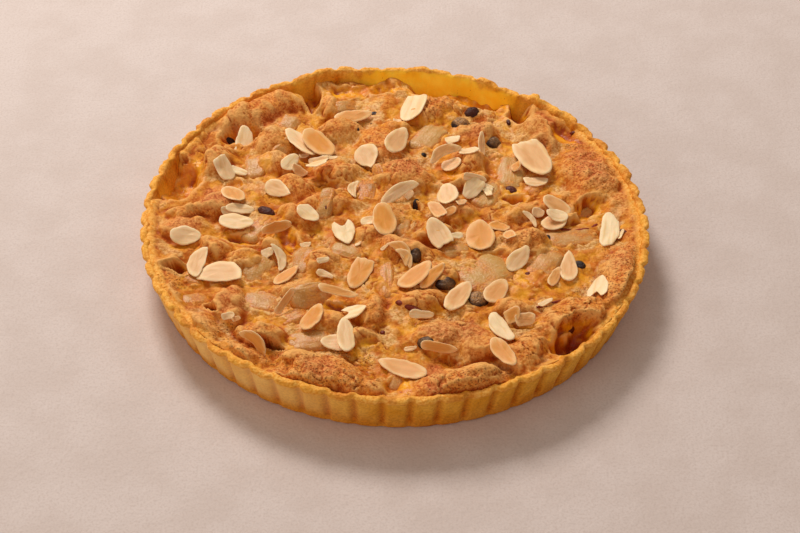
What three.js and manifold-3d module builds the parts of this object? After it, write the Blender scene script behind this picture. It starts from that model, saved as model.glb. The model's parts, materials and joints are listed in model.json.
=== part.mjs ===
// Pear tart: a fluted pastry case filled with batter that rose in mounds round pieces of pear
// and dark berries, with flaked almonds on top.
// Millimetres, +Z up. The origin is the middle of the flat underside, and the side that the
// tart is looked at from is -Y.
import * as THREE from 'three';
import { mergeVertices } from 'three/addons/utils/BufferGeometryUtils.js';
import Module from 'manifold-3d';

const wasm = await Module();
wasm.setup();

// Pastry case
const rimRadius = 125; // over the tips of the flutes
const baseRadius = 118.7; // over the tips, at the underside
const rimHeight = 24;
const fluteCount = 60;
const fluteDepth = 1.9;
const grooveWidth = 0.75; // share of a flute's half that slopes
const footFluting = 0.35; // how much of the groove is left at the underside
const firstGroove = THREE.MathUtils.degToRad(-91.4);
const stepsPerFlute = 5;
const crestDrop = 1.5; // how far the rounded edge of the rim falls to the wall
const crestInset = 1.1;
const innerRimRadius = 120.2;
const innerFloorRadius = 114.5;
const floorThickness = 3.5;

// Filling
const clearance = 0.4; // between pieces that touch
const fillingRings = 21;
const groundLevel = 19; // the batter between the mounds
const creepWidth = 15; // how far in from the crust the edge level is felt
const moundPower = 2.6; // above 2: rounder tops and steeper sides
const hollowPower = 2.8;
const hollowLip = 21.5; // the height at which a hollow has its stated size
const blend = 1.1; // radius of the crease where two mounds meet

// Toppings
const flakeThickness = 1.6;
const flakeSides = 7;
const pearDepth = 9;
const pearLift = 3; // how far the middle of a pear piece stands out of the batter
const berryLift = 2.8;

// Places are read as they show at rim height, looking down from here.
const viewpoint = new THREE.Vector3(3, -706, 638);

// How high the batter stands at the crust: angle in degrees, height
const edgeLevels = [
  [0, 22.5], [12, 22], [28, 22.5], [40, 22], [50, 21.5], [56, 21.5], [60, 17], [64, 15.5], [70, 13],
  [82, 12], [88, 16], [92, 19.5], [97, 17], [103, 18], [108, 20.5], [112, 22], [117, 15], [122, 20.5], [135, 21.5],
  [150, 21], [157, 20.5], [166, 12], [176, 20.5], [185, 22], [200, 21.5], [220, 21.5], [235, 22.5],
  [262, 22], [271, 20.5], [280, 23], [300, 23], [312, 21], [322, 21.5], [330, 22.5], [345, 23],
  [360, 22.5],
];

// Mounds of batter: x, y, length, width, turn in degrees, height of the top
const moundRows = [
  [-30, -104, 54, 26, -8, 28.5], [-41, -95, 24, 12, 2, 28.5], [-25, -112, 12, 14, 80, 25],
  [-8, -112, 17, 16, 40, 25.5], [33, -107, 46, 27, 12, 29], [38, -98, 32, 15, 8, 29.5],
  [-70, -93, 36, 19, -27, 27], [-60, -77, 26, 15, -8, 28], [-88, -76, 22, 15, -38, 25.5],
  [-104, -57, 22, 14, -62, 26.5], [-76, -61, 30, 19, 82, 26], [-108, -34, 20, 13, -62, 25.5],
  [-103, -8, 24, 18, -10, 25], [-103, 4, 24, 12, 14, 25], [-90, 13, 24, 22, 30, 25.5],
  [-88, -22, 18, 15, -30, 24.5], [-90, 48, 24, 15, 55, 26.5], [-78, 87, 46, 18, 42, 26],
  [-61, 95, 24, 16, 35, 25.5], [-66, 62, 24, 20, 60, 25.5], [-37, 92, 22, 15, 10, 24],
  [-73, -29, 20, 14, 10, 25], [-60, -19, 15, 11, 30, 25], [-35, -28, 20, 18, 0, 24],
  [-33, 14, 30, 18, 12, 24.5], [-52, 27, 24, 15, -20, 24.5], [-29, 38, 20, 26, 90, 25],
  [4, 40, 34, 24, -10, 26.5], [17, 92, 30, 24, 12, 24.5], [42, 75, 22, 19, 30, 25.5],
  [71, 79, 36, 17, -48, 26], [97, 42, 48, 28, -64, 26], [68, 15, 40, 12, 32, 24.5],
  [65, -9, 21, 22, 0, 25.5], [108, -33, 56, 23, 78, 27.5], [87, -58, 44, 22, 28, 28],
  [61, -85, 27, 20, 52, 27], [73, -95, 20, 9, 36, 25], [28, -77, 42, 24, 4, 26],
  [-8, -62, 15, 28, 0, 25.5], [-13, -80, 15, 12, 0, 24], [13, -54, 26, 17, -8, 25],
  [4, -17, 36, 15, -18, 25.5], [22, -34, 18, 18, 0, 25], [20, -5, 20, 15, -20, 25.5],
  [-9, 5, 24, 16, 12, 25], [-14, -8, 14, 14, 0, 25], [33, 35, 26, 13, 8, 25],
  [-8, 63, 26, 30, 0, 25], [-31, 72, 26, 22, 20, 24.5], [41, -83, 24, 16, 30, 26],
  [57, -58, 20, 15, -20, 25], [30, 12, 22, 18, 20, 24.5], [-43, -50, 22, 16, 0, 24.5],
  [38, 52, 20, 20, 0, 24.5], [-49, 5, 20, 18, -20, 24.5], [-30, -70, 16, 14, 0, 23.5],
  [86, 8, 10, 8, 0, 23], [-60, 44, 24, 14, -10, 24.5], [0, 76, 18, 14, 0, 24.5],
];

// Hollows: x, y, length, width, turn in degrees, height of the bottom. The place is the opening's.
const hollowRows = [
  [-110, 25, 28, 26, 77, 10], [84, -79, 28, 19, 48, 8], [-82, 63, 24, 13, 30, 13],
  [-48, 99, 28, 11, 98, 11], [-27, 104, 22, 12, 8, 17.5], [-8, 108, 18, 12, 0, 16], [18, 115, 28, 26, 0, 8],
  [44, 103, 26, 24, -25, 11], [64, 93, 30, 12, 80, 9], [88, 71, 24, 13, -50, 17.5],
  [98, 14, 22, 13, 20, 13], [-102, -41, 12, 9, 0, 13], [-54, -90, 15, 5, -20, 12],
  [-83, -69, 13, 4, -57, 12], [-42, 46, 20, 8, 10, 14], [-51, -17, 20, 10, -70, 15],
  [9, 12, 7, 10, 0, 14], [-9, -87, 12, 8, 20, 18.5], [-74, -16, 20, 9, -8, 15.5],
  [48, 41, 9, 14, 0, 17], [50, -24, 16, 9, 0, 15.5], [60, 21, 14, 9, 20, 15.5],
  [-83, 27, 8, 11, 0, 16], [-30, -64, 16, 8, 0, 17], [4, -113, 12, 14, 0, 17],
  [60, -73, 15, 5, -8, 15.5], [26, 32, 9, 8, 0, 17.5],
];

// Pieces of pear: x, y, length, width, turn in degrees
const pearRows = [
  [-57, 73, 14, 10, 70], [-27, 87, 12, 9, 20], [-57, 52, 14, 9, 60], [16, 65, 21, 13, 60],
  [58, 39, 23, 13, 82], [-73, 37, 16, 12, 90], [46, 22, 20, 13, 62], [44, -38, 23, 19, 42],
  [73, -29, 23, 12, 62], [86, -11, 25, 13, 12], [94, 6, 25, 7, 33], [-64, -41, 17, 13, 80],
  [-61, -63, 16, 13, -10], [-38, -58, 16, 11, 15], [-37, -87, 18, 12, 10],
  [3, -111, 11, 8, 85], [-92, -63, 13, 9, 20], [-3, -43, 24, 7, 92], [-15, 20, 16, 10, 82],
  [70, 30, 15, 8, 65], [-66, -10, 18, 9, 60], [4, -4, 17, 8, 80], [-22, -25, 15, 10, -20],
  [-45, -33, 16, 11, 70], [-95, -48, 11, 8, -20], [29, -22, 13, 9, 10],
  [-35, 9, 16, 7, 80], [-8, 30, 17, 6, 105], [68, -44, 14, 6, 90], [-45, -72, 13, 9, 30],
];

// Dark berries: x, y, length, width, turn in degrees
const berryRows = [
  [32, 77, 11.5, 11, 0], [49, 61, 9, 8.5, 0], [39.5, -56, 12, 11.5, 0], [25, -47, 10, 8, 10],
  [-64, 2.5, 10, 6, -25], [16, -86.5, 9, 7, 0], [10.5, -28, 8, 6, 90], [75, -12, 9, 6, 98],
  [57, 24, 8, 6, -15], [89, -30, 8, 6, -40], [82, -76, 7, 6, 0], [38.5, 86.5, 9, 8, 30],
];

// Flaked almonds: x, y, length, width, turn in degrees
const flakeRows = [
  [-24, 80, 21, 9, 20], [6.7, 88, 21, 14, 75], [-0.7, 61, 24, 11, 70], [-41, 57, 22, 13, -50],
  [-79, 55, 19, 9, 80], [23.5, 51, 19, 5, 35], [28, 43, 11, 9, 20], [-15.5, 46.5, 16, 13, -70],
  [70, 50, 29, 16, -75], [-87.5, 34, 14, 9, -70], [-81, 14, 15, 11, -70], [-77, 2.5, 15, 6, 20],
  [-78, -7, 17, 10, -5], [-101.5, -18, 15, 13, -15], [-82, -43, 22, 13, -5],
  [-59, 19, 17, 9, -40], [-43, 1.5, 13, 10, -35], [-58, -10.5, 16, 5, 25],
  [-51, -44, 16, 7, 48], [-24.5, -12, 16, 11, -75], [-5.5, -1, 21, 12, -85],
  [0, 19.5, 23, 6.5, 35], [25.5, 19.5, 15.5, 11, 95], [38, 24, 14, 10, 60],
  [21.5, -9.5, 16, 11, -60], [41.5, -11, 20.5, 14.5, 95], [60, -27, 16, 9, 52],
  [80, 13.5, 15.5, 10.5, -25], [78, 0.5, 13, 10, 20], [105.5, -4, 24.5, 9.5, 82],
  [84, -31, 22, 8.5, 88], [97.5, -45, 15, 11, 75], [10, -41, 21, 11, 47],
  [31, -54.5, 22, 10, 62], [49, -50, 18, 10, 62], [4.5, -24, 15, 8, -50],
  [-16.5, -41.5, 21, 10.5, 72], [-26, -54.5, 19, 5, -3], [-17.5, -67, 11, 10, 40],
  [-21, -83, 22, 8, 95], [-37, -72, 16, 10, 65], [60, -68, 10, 8, 0], [50, -75, 20, 8.5, -62],
  [51.5, -91, 20, 8.5, -62], [21.5, -89.5, 17, 5, -8], [5.5, -103, 23, 11, -25],
];

// Pastry
function fluteGroove(angle) {
  const across = Math.sin((angle - firstGroove) * fluteCount / 2);
  return 1 - THREE.MathUtils.smoothstep(Math.abs(across), 0, grooveWidth); // 1 in a groove, 0 on a tip
}

function rimTop(angle) {
  return rimHeight + 0.6 * Math.sin(3 * angle + 0.6) + 0.4 * Math.sin(7 * angle + 2.1)
    + 0.3 * Math.sin(17 * angle + 1.2);
}

function innerRadius(height) {
  const lean = (innerRimRadius - innerFloorRadius) / (rimHeight - floorThickness);
  return innerFloorRadius + lean * (height - floorThickness);
}

// Radius and height at one angle, from the underside's edge up and over the rim
function caseProfile(angle) {
  const top = rimTop(angle);
  const groove = fluteDepth * fluteGroove(angle);
  return [
    [baseRadius - groove * footFluting, 0],
    [rimRadius - groove, top - crestDrop],
    [rimRadius - groove - crestInset, top],
    [innerRadius(top), top - crestDrop / 3],
  ];
}

function closedGeometry(points, faces) {
  const geometry = new THREE.BufferGeometry();
  geometry.setAttribute('position', new THREE.Float32BufferAttribute(points.flat(), 3));
  geometry.setIndex(faces.flat());
  return geometry;
}

// The inside's foot has one point a flute, because it isn't fluted.
function pastryCase() {
  const steps = fluteCount * stepsPerFlute;
  const points = [[0, 0, 0], [0, 0, floorThickness]];
  const faces = [];
  const addPoint = (angle, radius, height) => points.push(
    [radius * Math.cos(angle), radius * Math.sin(angle), height]);
  const angleAt = (step) => firstGroove + step * 2 * Math.PI / steps;
  for (let step = 0; step < steps; step += 1) {
    caseProfile(angleAt(step)).forEach(([radius, height]) => addPoint(angleAt(step), radius, height));
  }
  for (let flute = 0; flute < fluteCount; flute += 1) {
    addPoint(angleAt(flute * stepsPerFlute), innerFloorRadius, floorThickness);
  }
  const rings = caseProfile(0).length;
  const at = (step, ring) => 2 + (step % steps) * rings + ring;
  const footAt = (step) => 2 + steps * rings + Math.floor(step / stepsPerFlute) % fluteCount;
  for (let step = 0; step < steps; step += 1) {
    const inside = at(step, rings - 1);
    const nextInside = at(step + 1, rings - 1);
    faces.push([0, at(step + 1, 0), at(step, 0)]);
    for (let ring = 0; ring < rings - 1; ring += 1) {
      faces.push([at(step, ring), at(step + 1, ring), at(step + 1, ring + 1)]);
      faces.push([at(step, ring), at(step + 1, ring + 1), at(step, ring + 1)]);
    }
    faces.push([inside, nextInside, footAt(step)]);
    if (footAt(step) !== footAt(step + 1)) {
      faces.push([nextInside, footAt(step + 1), footAt(step)]);
      faces.push([1, footAt(step), footAt(step + 1)]);
    }
  }
  return closedGeometry(points, faces);
}

// Filling
function slideToHeight(x, y, height) {
  const share = (height - rimHeight) / (viewpoint.z - rimHeight);
  return [x + (viewpoint.x - x) * share, y + (viewpoint.y - y) * share];
}

function readRow([x, y, length, width, turn, height], readHeight = height) {
  const [trueX, trueY] = slideToHeight(x, y, readHeight);
  const radians = THREE.MathUtils.degToRad(turn);
  return { x: trueX, y: trueY, length, width, cos: Math.cos(radians), sin: Math.sin(radians), height };
}

const mounds = moundRows.map((row) => readRow(row));
const hollows = hollowRows.map((row) => readRow(row, hollowLip));

// 0 at the middle of a mound or hollow and 1 at its edge
function reach(shape, x, y) {
  const along = (x - shape.x) * shape.cos + (y - shape.y) * shape.sin;
  const across = (y - shape.y) * shape.cos - (x - shape.x) * shape.sin;
  return Math.hypot(2 * along / shape.length, 2 * across / shape.width);
}

function softMax(heights) {
  const highest = Math.max(...heights);
  const total = heights.reduce((sum, height) => sum + Math.exp((height - highest) / blend), 0);
  return highest + blend * Math.log(total);
}

function ripples(x, y) {
  return 0.45 * Math.sin(0.52 * x + 0.21 * y + 1.3) * Math.sin(0.47 * y - 0.18 * x)
    + 0.3 * Math.sin(0.83 * x - 0.6 * y) * Math.sin(0.71 * x + 0.77 * y + 0.4);
}

function edgeLevel(x, y) {
  const angle = THREE.MathUtils.euclideanModulo(THREE.MathUtils.radToDeg(Math.atan2(y, x)), 360);
  const next = edgeLevels.findIndex(([place]) => place > angle);
  const [start, startLevel] = edgeLevels[next - 1];
  const [end, endLevel] = edgeLevels[next];
  return THREE.MathUtils.mapLinear(angle, start, end, startLevel, endLevel);
}

function fillingHeight(x, y) {
  const creep = THREE.MathUtils.smoothstep(
    Math.hypot(x, y), innerRimRadius - creepWidth, innerRimRadius);
  const ground = THREE.MathUtils.lerp(groundLevel, edgeLevel(x, y), creep);
  const rises = mounds.map((mound) => mound.height
    - (mound.height - groundLevel) * reach(mound, x, y) ** moundPower);
  const risen = softMax([ground, ...rises]) + ripples(x, y);
  const dips = hollows.map((hollow) => hollow.height
    + (hollowLip - hollow.height) * reach(hollow, x, y) ** hollowPower);
  return -softMax([-risen, ...dips.map((dip) => -dip)]);
}

// A disc of six sectors: ring k has 6k points, so that the triangles stay near equal.
function batterBody() {
  const points = [];
  const faces = [];
  const ringStart = (ring) => (ring === 0 ? 0 : 1 + 3 * ring * (ring - 1));
  const at = (ring, index) => ringStart(ring) + (ring === 0 ? 0 : index % (6 * ring));
  for (let ring = 0; ring <= fillingRings; ring += 1) {
    for (let index = 0; index < Math.max(1, 6 * ring); index += 1) {
      const angle = ring === 0 ? 0 : index * Math.PI / (3 * ring);
      const share = ring / fillingRings;
      const guess = innerRimRadius * share;
      const height = fillingHeight(guess * Math.cos(angle), guess * Math.sin(angle));
      const radius = (innerRadius(height) - clearance) * share;
      points.push([radius * Math.cos(angle), radius * Math.sin(angle), height]);
    }
  }
  for (let ring = 1; ring <= fillingRings; ring += 1) {
    for (let sector = 0; sector < 6; sector += 1) {
      for (let step = 0; step < ring; step += 1) {
        const outer = sector * ring + step;
        const inner = sector * (ring - 1) + step;
        faces.push([at(ring, outer), at(ring, outer + 1), at(ring - 1, inner)]);
        if (step < ring - 1) {
          faces.push([at(ring - 1, inner), at(ring, outer + 1), at(ring - 1, inner + 1)]);
        }
      }
    }
  }
  const edge = 6 * fillingRings;
  const foot = points.length;
  const footHeight = floorThickness + clearance;
  for (let index = 0; index < edge; index += 1) {
    const angle = index * Math.PI / (3 * fillingRings);
    const radius = innerRadius(footHeight) - clearance;
    points.push([radius * Math.cos(angle), radius * Math.sin(angle), footHeight]);
  }
  const middle = points.push([0, 0, footHeight]) - 1;
  for (let index = 0; index < edge; index += 1) {
    const next = (index + 1) % edge;
    const top = at(fillingRings, index);
    const nextTop = at(fillingRings, next);
    faces.push([foot + index, foot + next, nextTop], [foot + index, nextTop, top]);
    faces.push([middle, foot + next, foot + index]);
  }
  return closedGeometry(points, faces);
}

// Solids to cut and join
function toSolid(geometry) {
  const bare = geometry.clone();
  bare.deleteAttribute('normal');
  bare.deleteAttribute('uv');
  const merged = mergeVertices(bare, 1e-4);
  return new wasm.Manifold(new wasm.Mesh({
    numProp: 3,
    vertProperties: new Float32Array(merged.attributes.position.array),
    triVerts: new Uint32Array(merged.index.array),
  }));
}

function largestPart(solid) {
  const parts = solid.decompose();
  return parts.reduce((best, part) => (part.volume() > best.volume() ? part : best));
}

function toGeometry(solid) {
  const { vertProperties, triVerts } = solid.getMesh();
  const geometry = new THREE.BufferGeometry();
  geometry.setAttribute('position', new THREE.BufferAttribute(new Float32Array(vertProperties), 3));
  geometry.setIndex(new THREE.BufferAttribute(new Uint32Array(triVerts), 1));
  return geometry;
}

// Toppings: where the line of sight through x, y at rim height meets the batter
function placeOnFilling(x, y, turn, lift, span) {
  let height = 36;
  let [trueX, trueY] = slideToHeight(x, y, height);
  while (height > fillingHeight(trueX, trueY)) {
    height -= 0.1;
    [trueX, trueY] = slideToHeight(x, y, height);
  }
  const slopeX = (fillingHeight(trueX + span, trueY) - fillingHeight(trueX - span, trueY)) / (2 * span);
  const slopeY = (fillingHeight(trueX, trueY + span) - fillingHeight(trueX, trueY - span)) / (2 * span);
  const up = new THREE.Vector3(-slopeX, -slopeY, 1).normalize();
  const lean = new THREE.Quaternion().setFromUnitVectors(new THREE.Vector3(0, 0, 1), up);
  const spin = new THREE.Quaternion().setFromAxisAngle(
    new THREE.Vector3(0, 0, 1), THREE.MathUtils.degToRad(turn));
  const place = new THREE.Vector3(trueX, trueY, height).addScaledVector(up, lift);
  return new THREE.Matrix4().compose(place, lean.multiply(spin), new THREE.Vector3(1, 1, 1));
}

// An egg-shaped slice, narrower at its +X end
function almondFlake([x, y, length, width, turn]) {
  const geometry = new THREE.CylinderGeometry(0.5, 0.5, flakeThickness, flakeSides);
  geometry.rotateX(Math.PI / 2);
  geometry.scale(length, width, 1);
  const position = geometry.attributes.position;
  for (let index = 0; index < position.count; index += 1) {
    position.setY(index, position.getY(index) * (1 - 0.5 * position.getX(index) / length));
  }
  return toSolid(geometry.applyMatrix4(placeOnFilling(x, y, turn, 0.2, length / 3)));
}

// A rounded lump of fruit: boxiness 1 is a ball, and less is nearer to a block
function fruitLump(length, width, depth, boxiness) {
  const geometry = new THREE.SphereGeometry(1, 7, 4);
  geometry.rotateX(Math.PI / 2);
  const position = geometry.attributes.position;
  const square = (value) => Math.sign(value) * Math.abs(value) ** boxiness;
  for (let index = 0; index < position.count; index += 1) {
    position.setXYZ(index, square(position.getX(index)) * length / 2,
      square(position.getY(index)) * width / 2, square(position.getZ(index)) * depth / 2);
  }
  return geometry;
}

function fruitSolids([x, y, length, width, turn], depth, lift, boxiness) {
  const place = placeOnFilling(x, y, turn, lift - depth / 2, width / 3);
  const grown = 2 * clearance;
  const lowest = floorThickness + depth / 2 + grown + width / 4;
  place.elements[14] = Math.max(place.elements[14], lowest);
  const lump = fruitLump(length, width, depth, boxiness);
  const pit = fruitLump(length + grown, width + grown, depth + grown, boxiness);
  return { solid: toSolid(lump.applyMatrix4(place)), pit: toSolid(pit.applyMatrix4(place)) };
}

const pears = pearRows.map((row) => fruitSolids(row, pearDepth, pearLift, 0.75));
const berries = berryRows.map((row) => fruitSolids(row, row[3], berryLift, 1));
const fruits = [...pears, ...berries];

// A lump that meets an earlier one is cut back from it.
fruits.forEach((fruit, index) => {
  for (const earlier of fruits.slice(0, index)) {
    if (!fruit.solid.intersect(earlier.pit).isEmpty()) {
      fruit.solid = largestPart(fruit.solid.subtract(earlier.pit));
    }
  }
});

function filling() {
  let solid = toSolid(batterBody());
  for (const row of flakeRows) {
    solid = solid.add(almondFlake(row));
  }
  for (const fruit of fruits) {
    solid = solid.subtract(fruit.pit);
  }
  return toGeometry(largestPart(solid));
}

// Materials
const pastry = { color: 0xc98a3f, roughness: 0.75, metalness: 0 };
const batter = { color: 0xd08a45, roughness: 0.7, metalness: 0 };
const pearFlesh = { color: 0xd9b27c, roughness: 0.4, metalness: 0 };
const berrySkin = { color: 0x2a1a1c, roughness: 0.45, metalness: 0 };

const group = new THREE.Group();

function addPiece(name, geometry, finish) {
  const mesh = new THREE.Mesh(geometry, new THREE.MeshStandardMaterial(finish));
  mesh.name = name;
  group.add(mesh);
}

const numbered = (word, index) => `${word}_${String(index + 1).padStart(2, '0')}`;

addPiece('crust', pastryCase(), pastry);
addPiece('filling', filling(), batter);
pears.forEach((pear, index) => addPiece(numbered('pear', index), toGeometry(pear.solid), pearFlesh));
berries.forEach((berry, index) => addPiece(numbered('berry', index), toGeometry(berry.solid), berrySkin));

export default group;
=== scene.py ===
import json
import math
import bpy
import bmesh
import numpy as np
from mathutils import Matrix, Vector
from mathutils.bvhtree import BVHTree

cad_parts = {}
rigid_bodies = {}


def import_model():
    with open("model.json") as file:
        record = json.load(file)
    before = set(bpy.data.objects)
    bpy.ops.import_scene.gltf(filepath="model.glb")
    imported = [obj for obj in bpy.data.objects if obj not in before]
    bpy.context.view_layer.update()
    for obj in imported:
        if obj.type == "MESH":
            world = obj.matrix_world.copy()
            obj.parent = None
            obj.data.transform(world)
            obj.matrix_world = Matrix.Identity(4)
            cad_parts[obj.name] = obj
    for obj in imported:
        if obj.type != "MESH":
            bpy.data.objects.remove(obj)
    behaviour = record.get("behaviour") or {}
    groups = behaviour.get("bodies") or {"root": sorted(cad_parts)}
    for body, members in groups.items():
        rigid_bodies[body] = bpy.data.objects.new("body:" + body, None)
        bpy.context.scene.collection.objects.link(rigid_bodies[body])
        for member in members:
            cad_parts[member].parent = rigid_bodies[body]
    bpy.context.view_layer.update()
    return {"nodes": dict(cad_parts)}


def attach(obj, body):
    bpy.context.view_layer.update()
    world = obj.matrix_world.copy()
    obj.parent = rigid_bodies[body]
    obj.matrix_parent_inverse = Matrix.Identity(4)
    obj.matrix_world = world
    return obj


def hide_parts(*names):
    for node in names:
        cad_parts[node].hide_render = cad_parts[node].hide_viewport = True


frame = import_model()
mm = 0.001

# Sizes are in millimetres. The tart stands on its base at the origin, and -Y faces the viewer.
# Places on the surface are where the viewer sees them, taken at the rim's height.
tart = {
    "rimRadius": 125.0, "rimHeight": 24.0, "innerRimRadius": 120.2, "innerFloorRadius": 114.5,
    "floorThickness": 3.5, "clearance": 0.4,
}
view = {"place": (3.0, -705.7, 637.5), "elevation": 42.47, "roll": -1.83, "lens": 85.46, "sensor": 36}
wellAbove = 0.06  # in metres, higher than any point of the tart


def tone(red, green, blue):  # a colour as the eye reads it, 0 to 255, made linear
    def linear(value):
        value /= 255
        return value / 12.92 if value < 0.04045 else ((value + 0.055) / 1.055) ** 2.4
    return (linear(red), linear(green), linear(blue), 1.0)


def smooth(low, high, value):  # climbs from 0 at low to 1 at high, and low may be the larger
    share = np.clip((value - low) / (high - low), 0, 1)
    return share * share * (3 - 2 * share)


def between(low, fullLow, fullHigh, high, value):  # 1 between the full values, 0 past the other two
    return smooth(low, fullLow, value) * smooth(high, fullHigh, value)


def latticeValue(ix, iy, iz, seed):  # the same random value for a cell each time, from -1 to 1
    value = (ix * 374761393 + iy * 668265263 + iz * 1442695041 + seed * 974634777) & 0xFFFFFFFF
    value = ((value ^ (value >> 13)) * 1274126177) & 0xFFFFFFFF
    return ((value ^ (value >> 16)) & 0xFFFF) / 32767.5 - 1


def noise(points, size, seed=0):  # smooth, from -1 to 1, with lumps about size across
    # turned off the axes, so that the lumps don't line up with them
    turned = points @ np.array([[0.8, 0.36, -0.48], [-0.6, 0.48, -0.64], [0, 0.8, 0.6]]) / size
    cell = np.floor(turned).astype(np.int64)
    part = turned - cell
    fade = part ** 3 * (part * (part * 6 - 15) + 10)
    total = np.zeros(len(points))
    for corner in range(8):
        step = np.array([corner & 1, corner >> 1 & 1, corner >> 2 & 1])
        weight = np.where(step, fade, 1 - fade).prod(axis=1)
        total += weight * latticeValue(*(cell + step).T, seed)
    return total


def fractal(points, size, octaves, seed=0):  # each octave has lumps about half as large and as high
    return sum(noise(points, size / 2.1 ** step, seed + step) * 0.5 ** step for step in range(octaves))


def newMesh(name, points, faces, material):
    mesh = bpy.data.meshes.new(name)
    mesh.from_pydata((np.asarray(points) * mm).tolist(), [], faces)
    mesh.materials.append(material)
    mesh.polygons.foreach_set("use_smooth", [True] * len(mesh.polygons))
    piece = bpy.data.objects.new(name, mesh)
    bpy.context.scene.collection.objects.link(piece)
    return piece


def addAttribute(piece, name, values):  # one number, or one vector, for each point
    values = np.asarray(values, np.float32)
    kind, field = ("FLOAT_VECTOR", "vector") if values.ndim == 2 else ("FLOAT", "value")
    piece.data.attributes.new(name, kind, "POINT").data.foreach_set(field, values.ravel())


def pointsOf(piece):
    places = np.empty(len(piece.data.vertices) * 3, np.float32)
    piece.data.vertices.foreach_get("co", places)
    return places.reshape(-1, 3).astype(float) / mm


def put(tree, kind, sockets=None, **settings):  # adds a node, sets it up, links or fills its sockets
    added = tree.nodes.new(kind)
    for key, value in settings.items():
        setattr(added, key, value)
    for key, value in (sockets or {}).items():
        if isinstance(value, bpy.types.NodeSocket):
            tree.links.new(value, added.inputs[key])
        else:
            added.inputs[key].default_value = value
    return added


def maths(tree, operation, first, second=0.5):
    return put(tree, "ShaderNodeMath", {0: first, 1: second}, operation=operation).outputs[0]


def product(tree, first, *others):
    for other in others:
        first = maths(tree, "MULTIPLY", first, other)
    return first


def vectorMaths(tree, operation, first, second):
    sockets = {0: first, "Scale" if operation == "SCALE" else 1: second}
    return put(tree, "ShaderNodeVectorMath", sockets, operation=operation).outputs[0]


def mapped(tree, value, low, high, bottom=0.0, top=1.0):
    ends = {"Value": value, "From Min": low, "From Max": high, "To Min": bottom, "To Max": top}
    return put(tree, "ShaderNodeMapRange", ends, interpolation_type="SMOOTHSTEP").outputs[0]


# Materials
def newMaterial(name, roughness, **sockets):
    material = bpy.data.materials.new(name)
    material.use_nodes = True
    shader = material.node_tree.nodes["Principled BSDF"]
    shader.inputs["Roughness"].default_value = roughness
    for socket, value in sockets.items():
        shader.inputs[socket.replace("_", " ")].default_value = value
    return material, material.node_tree, shader


def mixed(tree, share, first, second, blend="MIX"):
    sockets = {0: share, 6: first, 7: second}
    return put(tree, "ShaderNodeMix", sockets, data_type="RGBA", blend_type=blend).outputs[2]


def stored(tree, name, output="Fac"):
    return put(tree, "ShaderNodeAttribute", attribute_name=name).outputs[output]


# Noise. Its size is in millimetres on Object coordinates, and in thousandths on a piece's attribute
def grain(tree, size, detail=3.0, distortion=0.0, place=None):
    place = place or put(tree, "ShaderNodeTexCoord").outputs["Object"]
    return put(tree, "ShaderNodeTexNoise", {"Vector": place, "Scale": 1000 / size, "Detail": detail,
                                            "Distortion": distortion}).outputs["Fac"]


def holes(tree, size, rim, core):  # 1 in the middle of small round holes, 0 between them
    place = put(tree, "ShaderNodeTexCoord").outputs["Object"]
    distance = put(tree, "ShaderNodeTexVoronoi", {"Vector": place, "Scale": 1000 / size}).outputs["Distance"]
    return mapped(tree, distance, rim, core)


def mottled(tree, pattern, first, second, low=0.35, high=0.65):  # two tones, mixed by a pattern
    return mixed(tree, mapped(tree, pattern, low, high), tone(*first), tone(*second))


# Each coat is how much of it shows, or the name of an attribute that says so, and its tone or colour
def coated(tree, colour, coats):
    for share, coat in coats:
        share = stored(tree, share) if isinstance(share, str) else share
        coat = tone(*coat) if isinstance(coat, tuple) else coat
        colour = mixed(tree, share, colour, coat)
    return colour


def dress(tree, shader, colour, bumps):  # each bump is a height and how many millimetres deep it is
    tree.links.new(colour, shader.inputs["Base Color"])
    normal = None
    for height, depth in bumps:
        added = put(tree, "ShaderNodeBump", {"Height": height, "Strength": 1.0, "Distance": depth * mm})
        if normal:
            tree.links.new(normal, added.inputs["Normal"])
        normal = added.outputs["Normal"]
    tree.links.new(normal, shader.inputs["Normal"])


def pastryMaterial():
    material, tree, shader = newMaterial("shortPastry", 0.7, Specular_IOR_Level=0.15)
    broad, fine, backlitGlow = grain(tree, 12, 5, 0.3), grain(tree, 1.1, 4), stored(tree, "backlitGlow")
    specks = product(tree, holes(tree, 3.1, 0.16, 0.06), mapped(tree, broad, 0.45, 0.6, 0, 0.7))
    colour = coated(tree, mottled(tree, broad, (246, 182, 68), (232, 158, 38)), [
        (mapped(tree, fine, 0.35, 0.7, 0, 0.5), (190, 112, 22)),
        ("lipped", mottled(tree, fine, (252, 190, 100), (236, 152, 52))),
        # besides browning, this coat carries painted shade in the flutes' grooves and low on the outside of
        # the wall
        ("browned", mottled(tree, fine, (212, 112, 8), (172, 78, 0), 0.3, 0.7)),
        # painted light on the outside of the wall at the front and left, paler and creamier
        (product(tree, stored(tree, "pale"), 0.6), (255, 216, 146)),
        # painted light: the bare inside of the wall at the back, brighter and yellower as though lit through
        # from behind
        (backlitGlow, mottled(tree, broad, (252, 210, 70), (245, 182, 34))),
        (specks, (150, 80, 20)),
    ])
    # light that comes through the thin rim
    shader.inputs["Emission Color"].default_value = tone(250, 176, 24)
    tree.links.new(product(tree, backlitGlow, 0.14), shader.inputs["Emission Strength"])
    crumbly = product(tree, fine, mapped(tree, stored(tree, "lipped"), 0, 1, 0.4, 1))
    dress(tree, shader, colour, [(grain(tree, 3.5, 4), 0.25), (crumbly, 0.3)])
    return material


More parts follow.
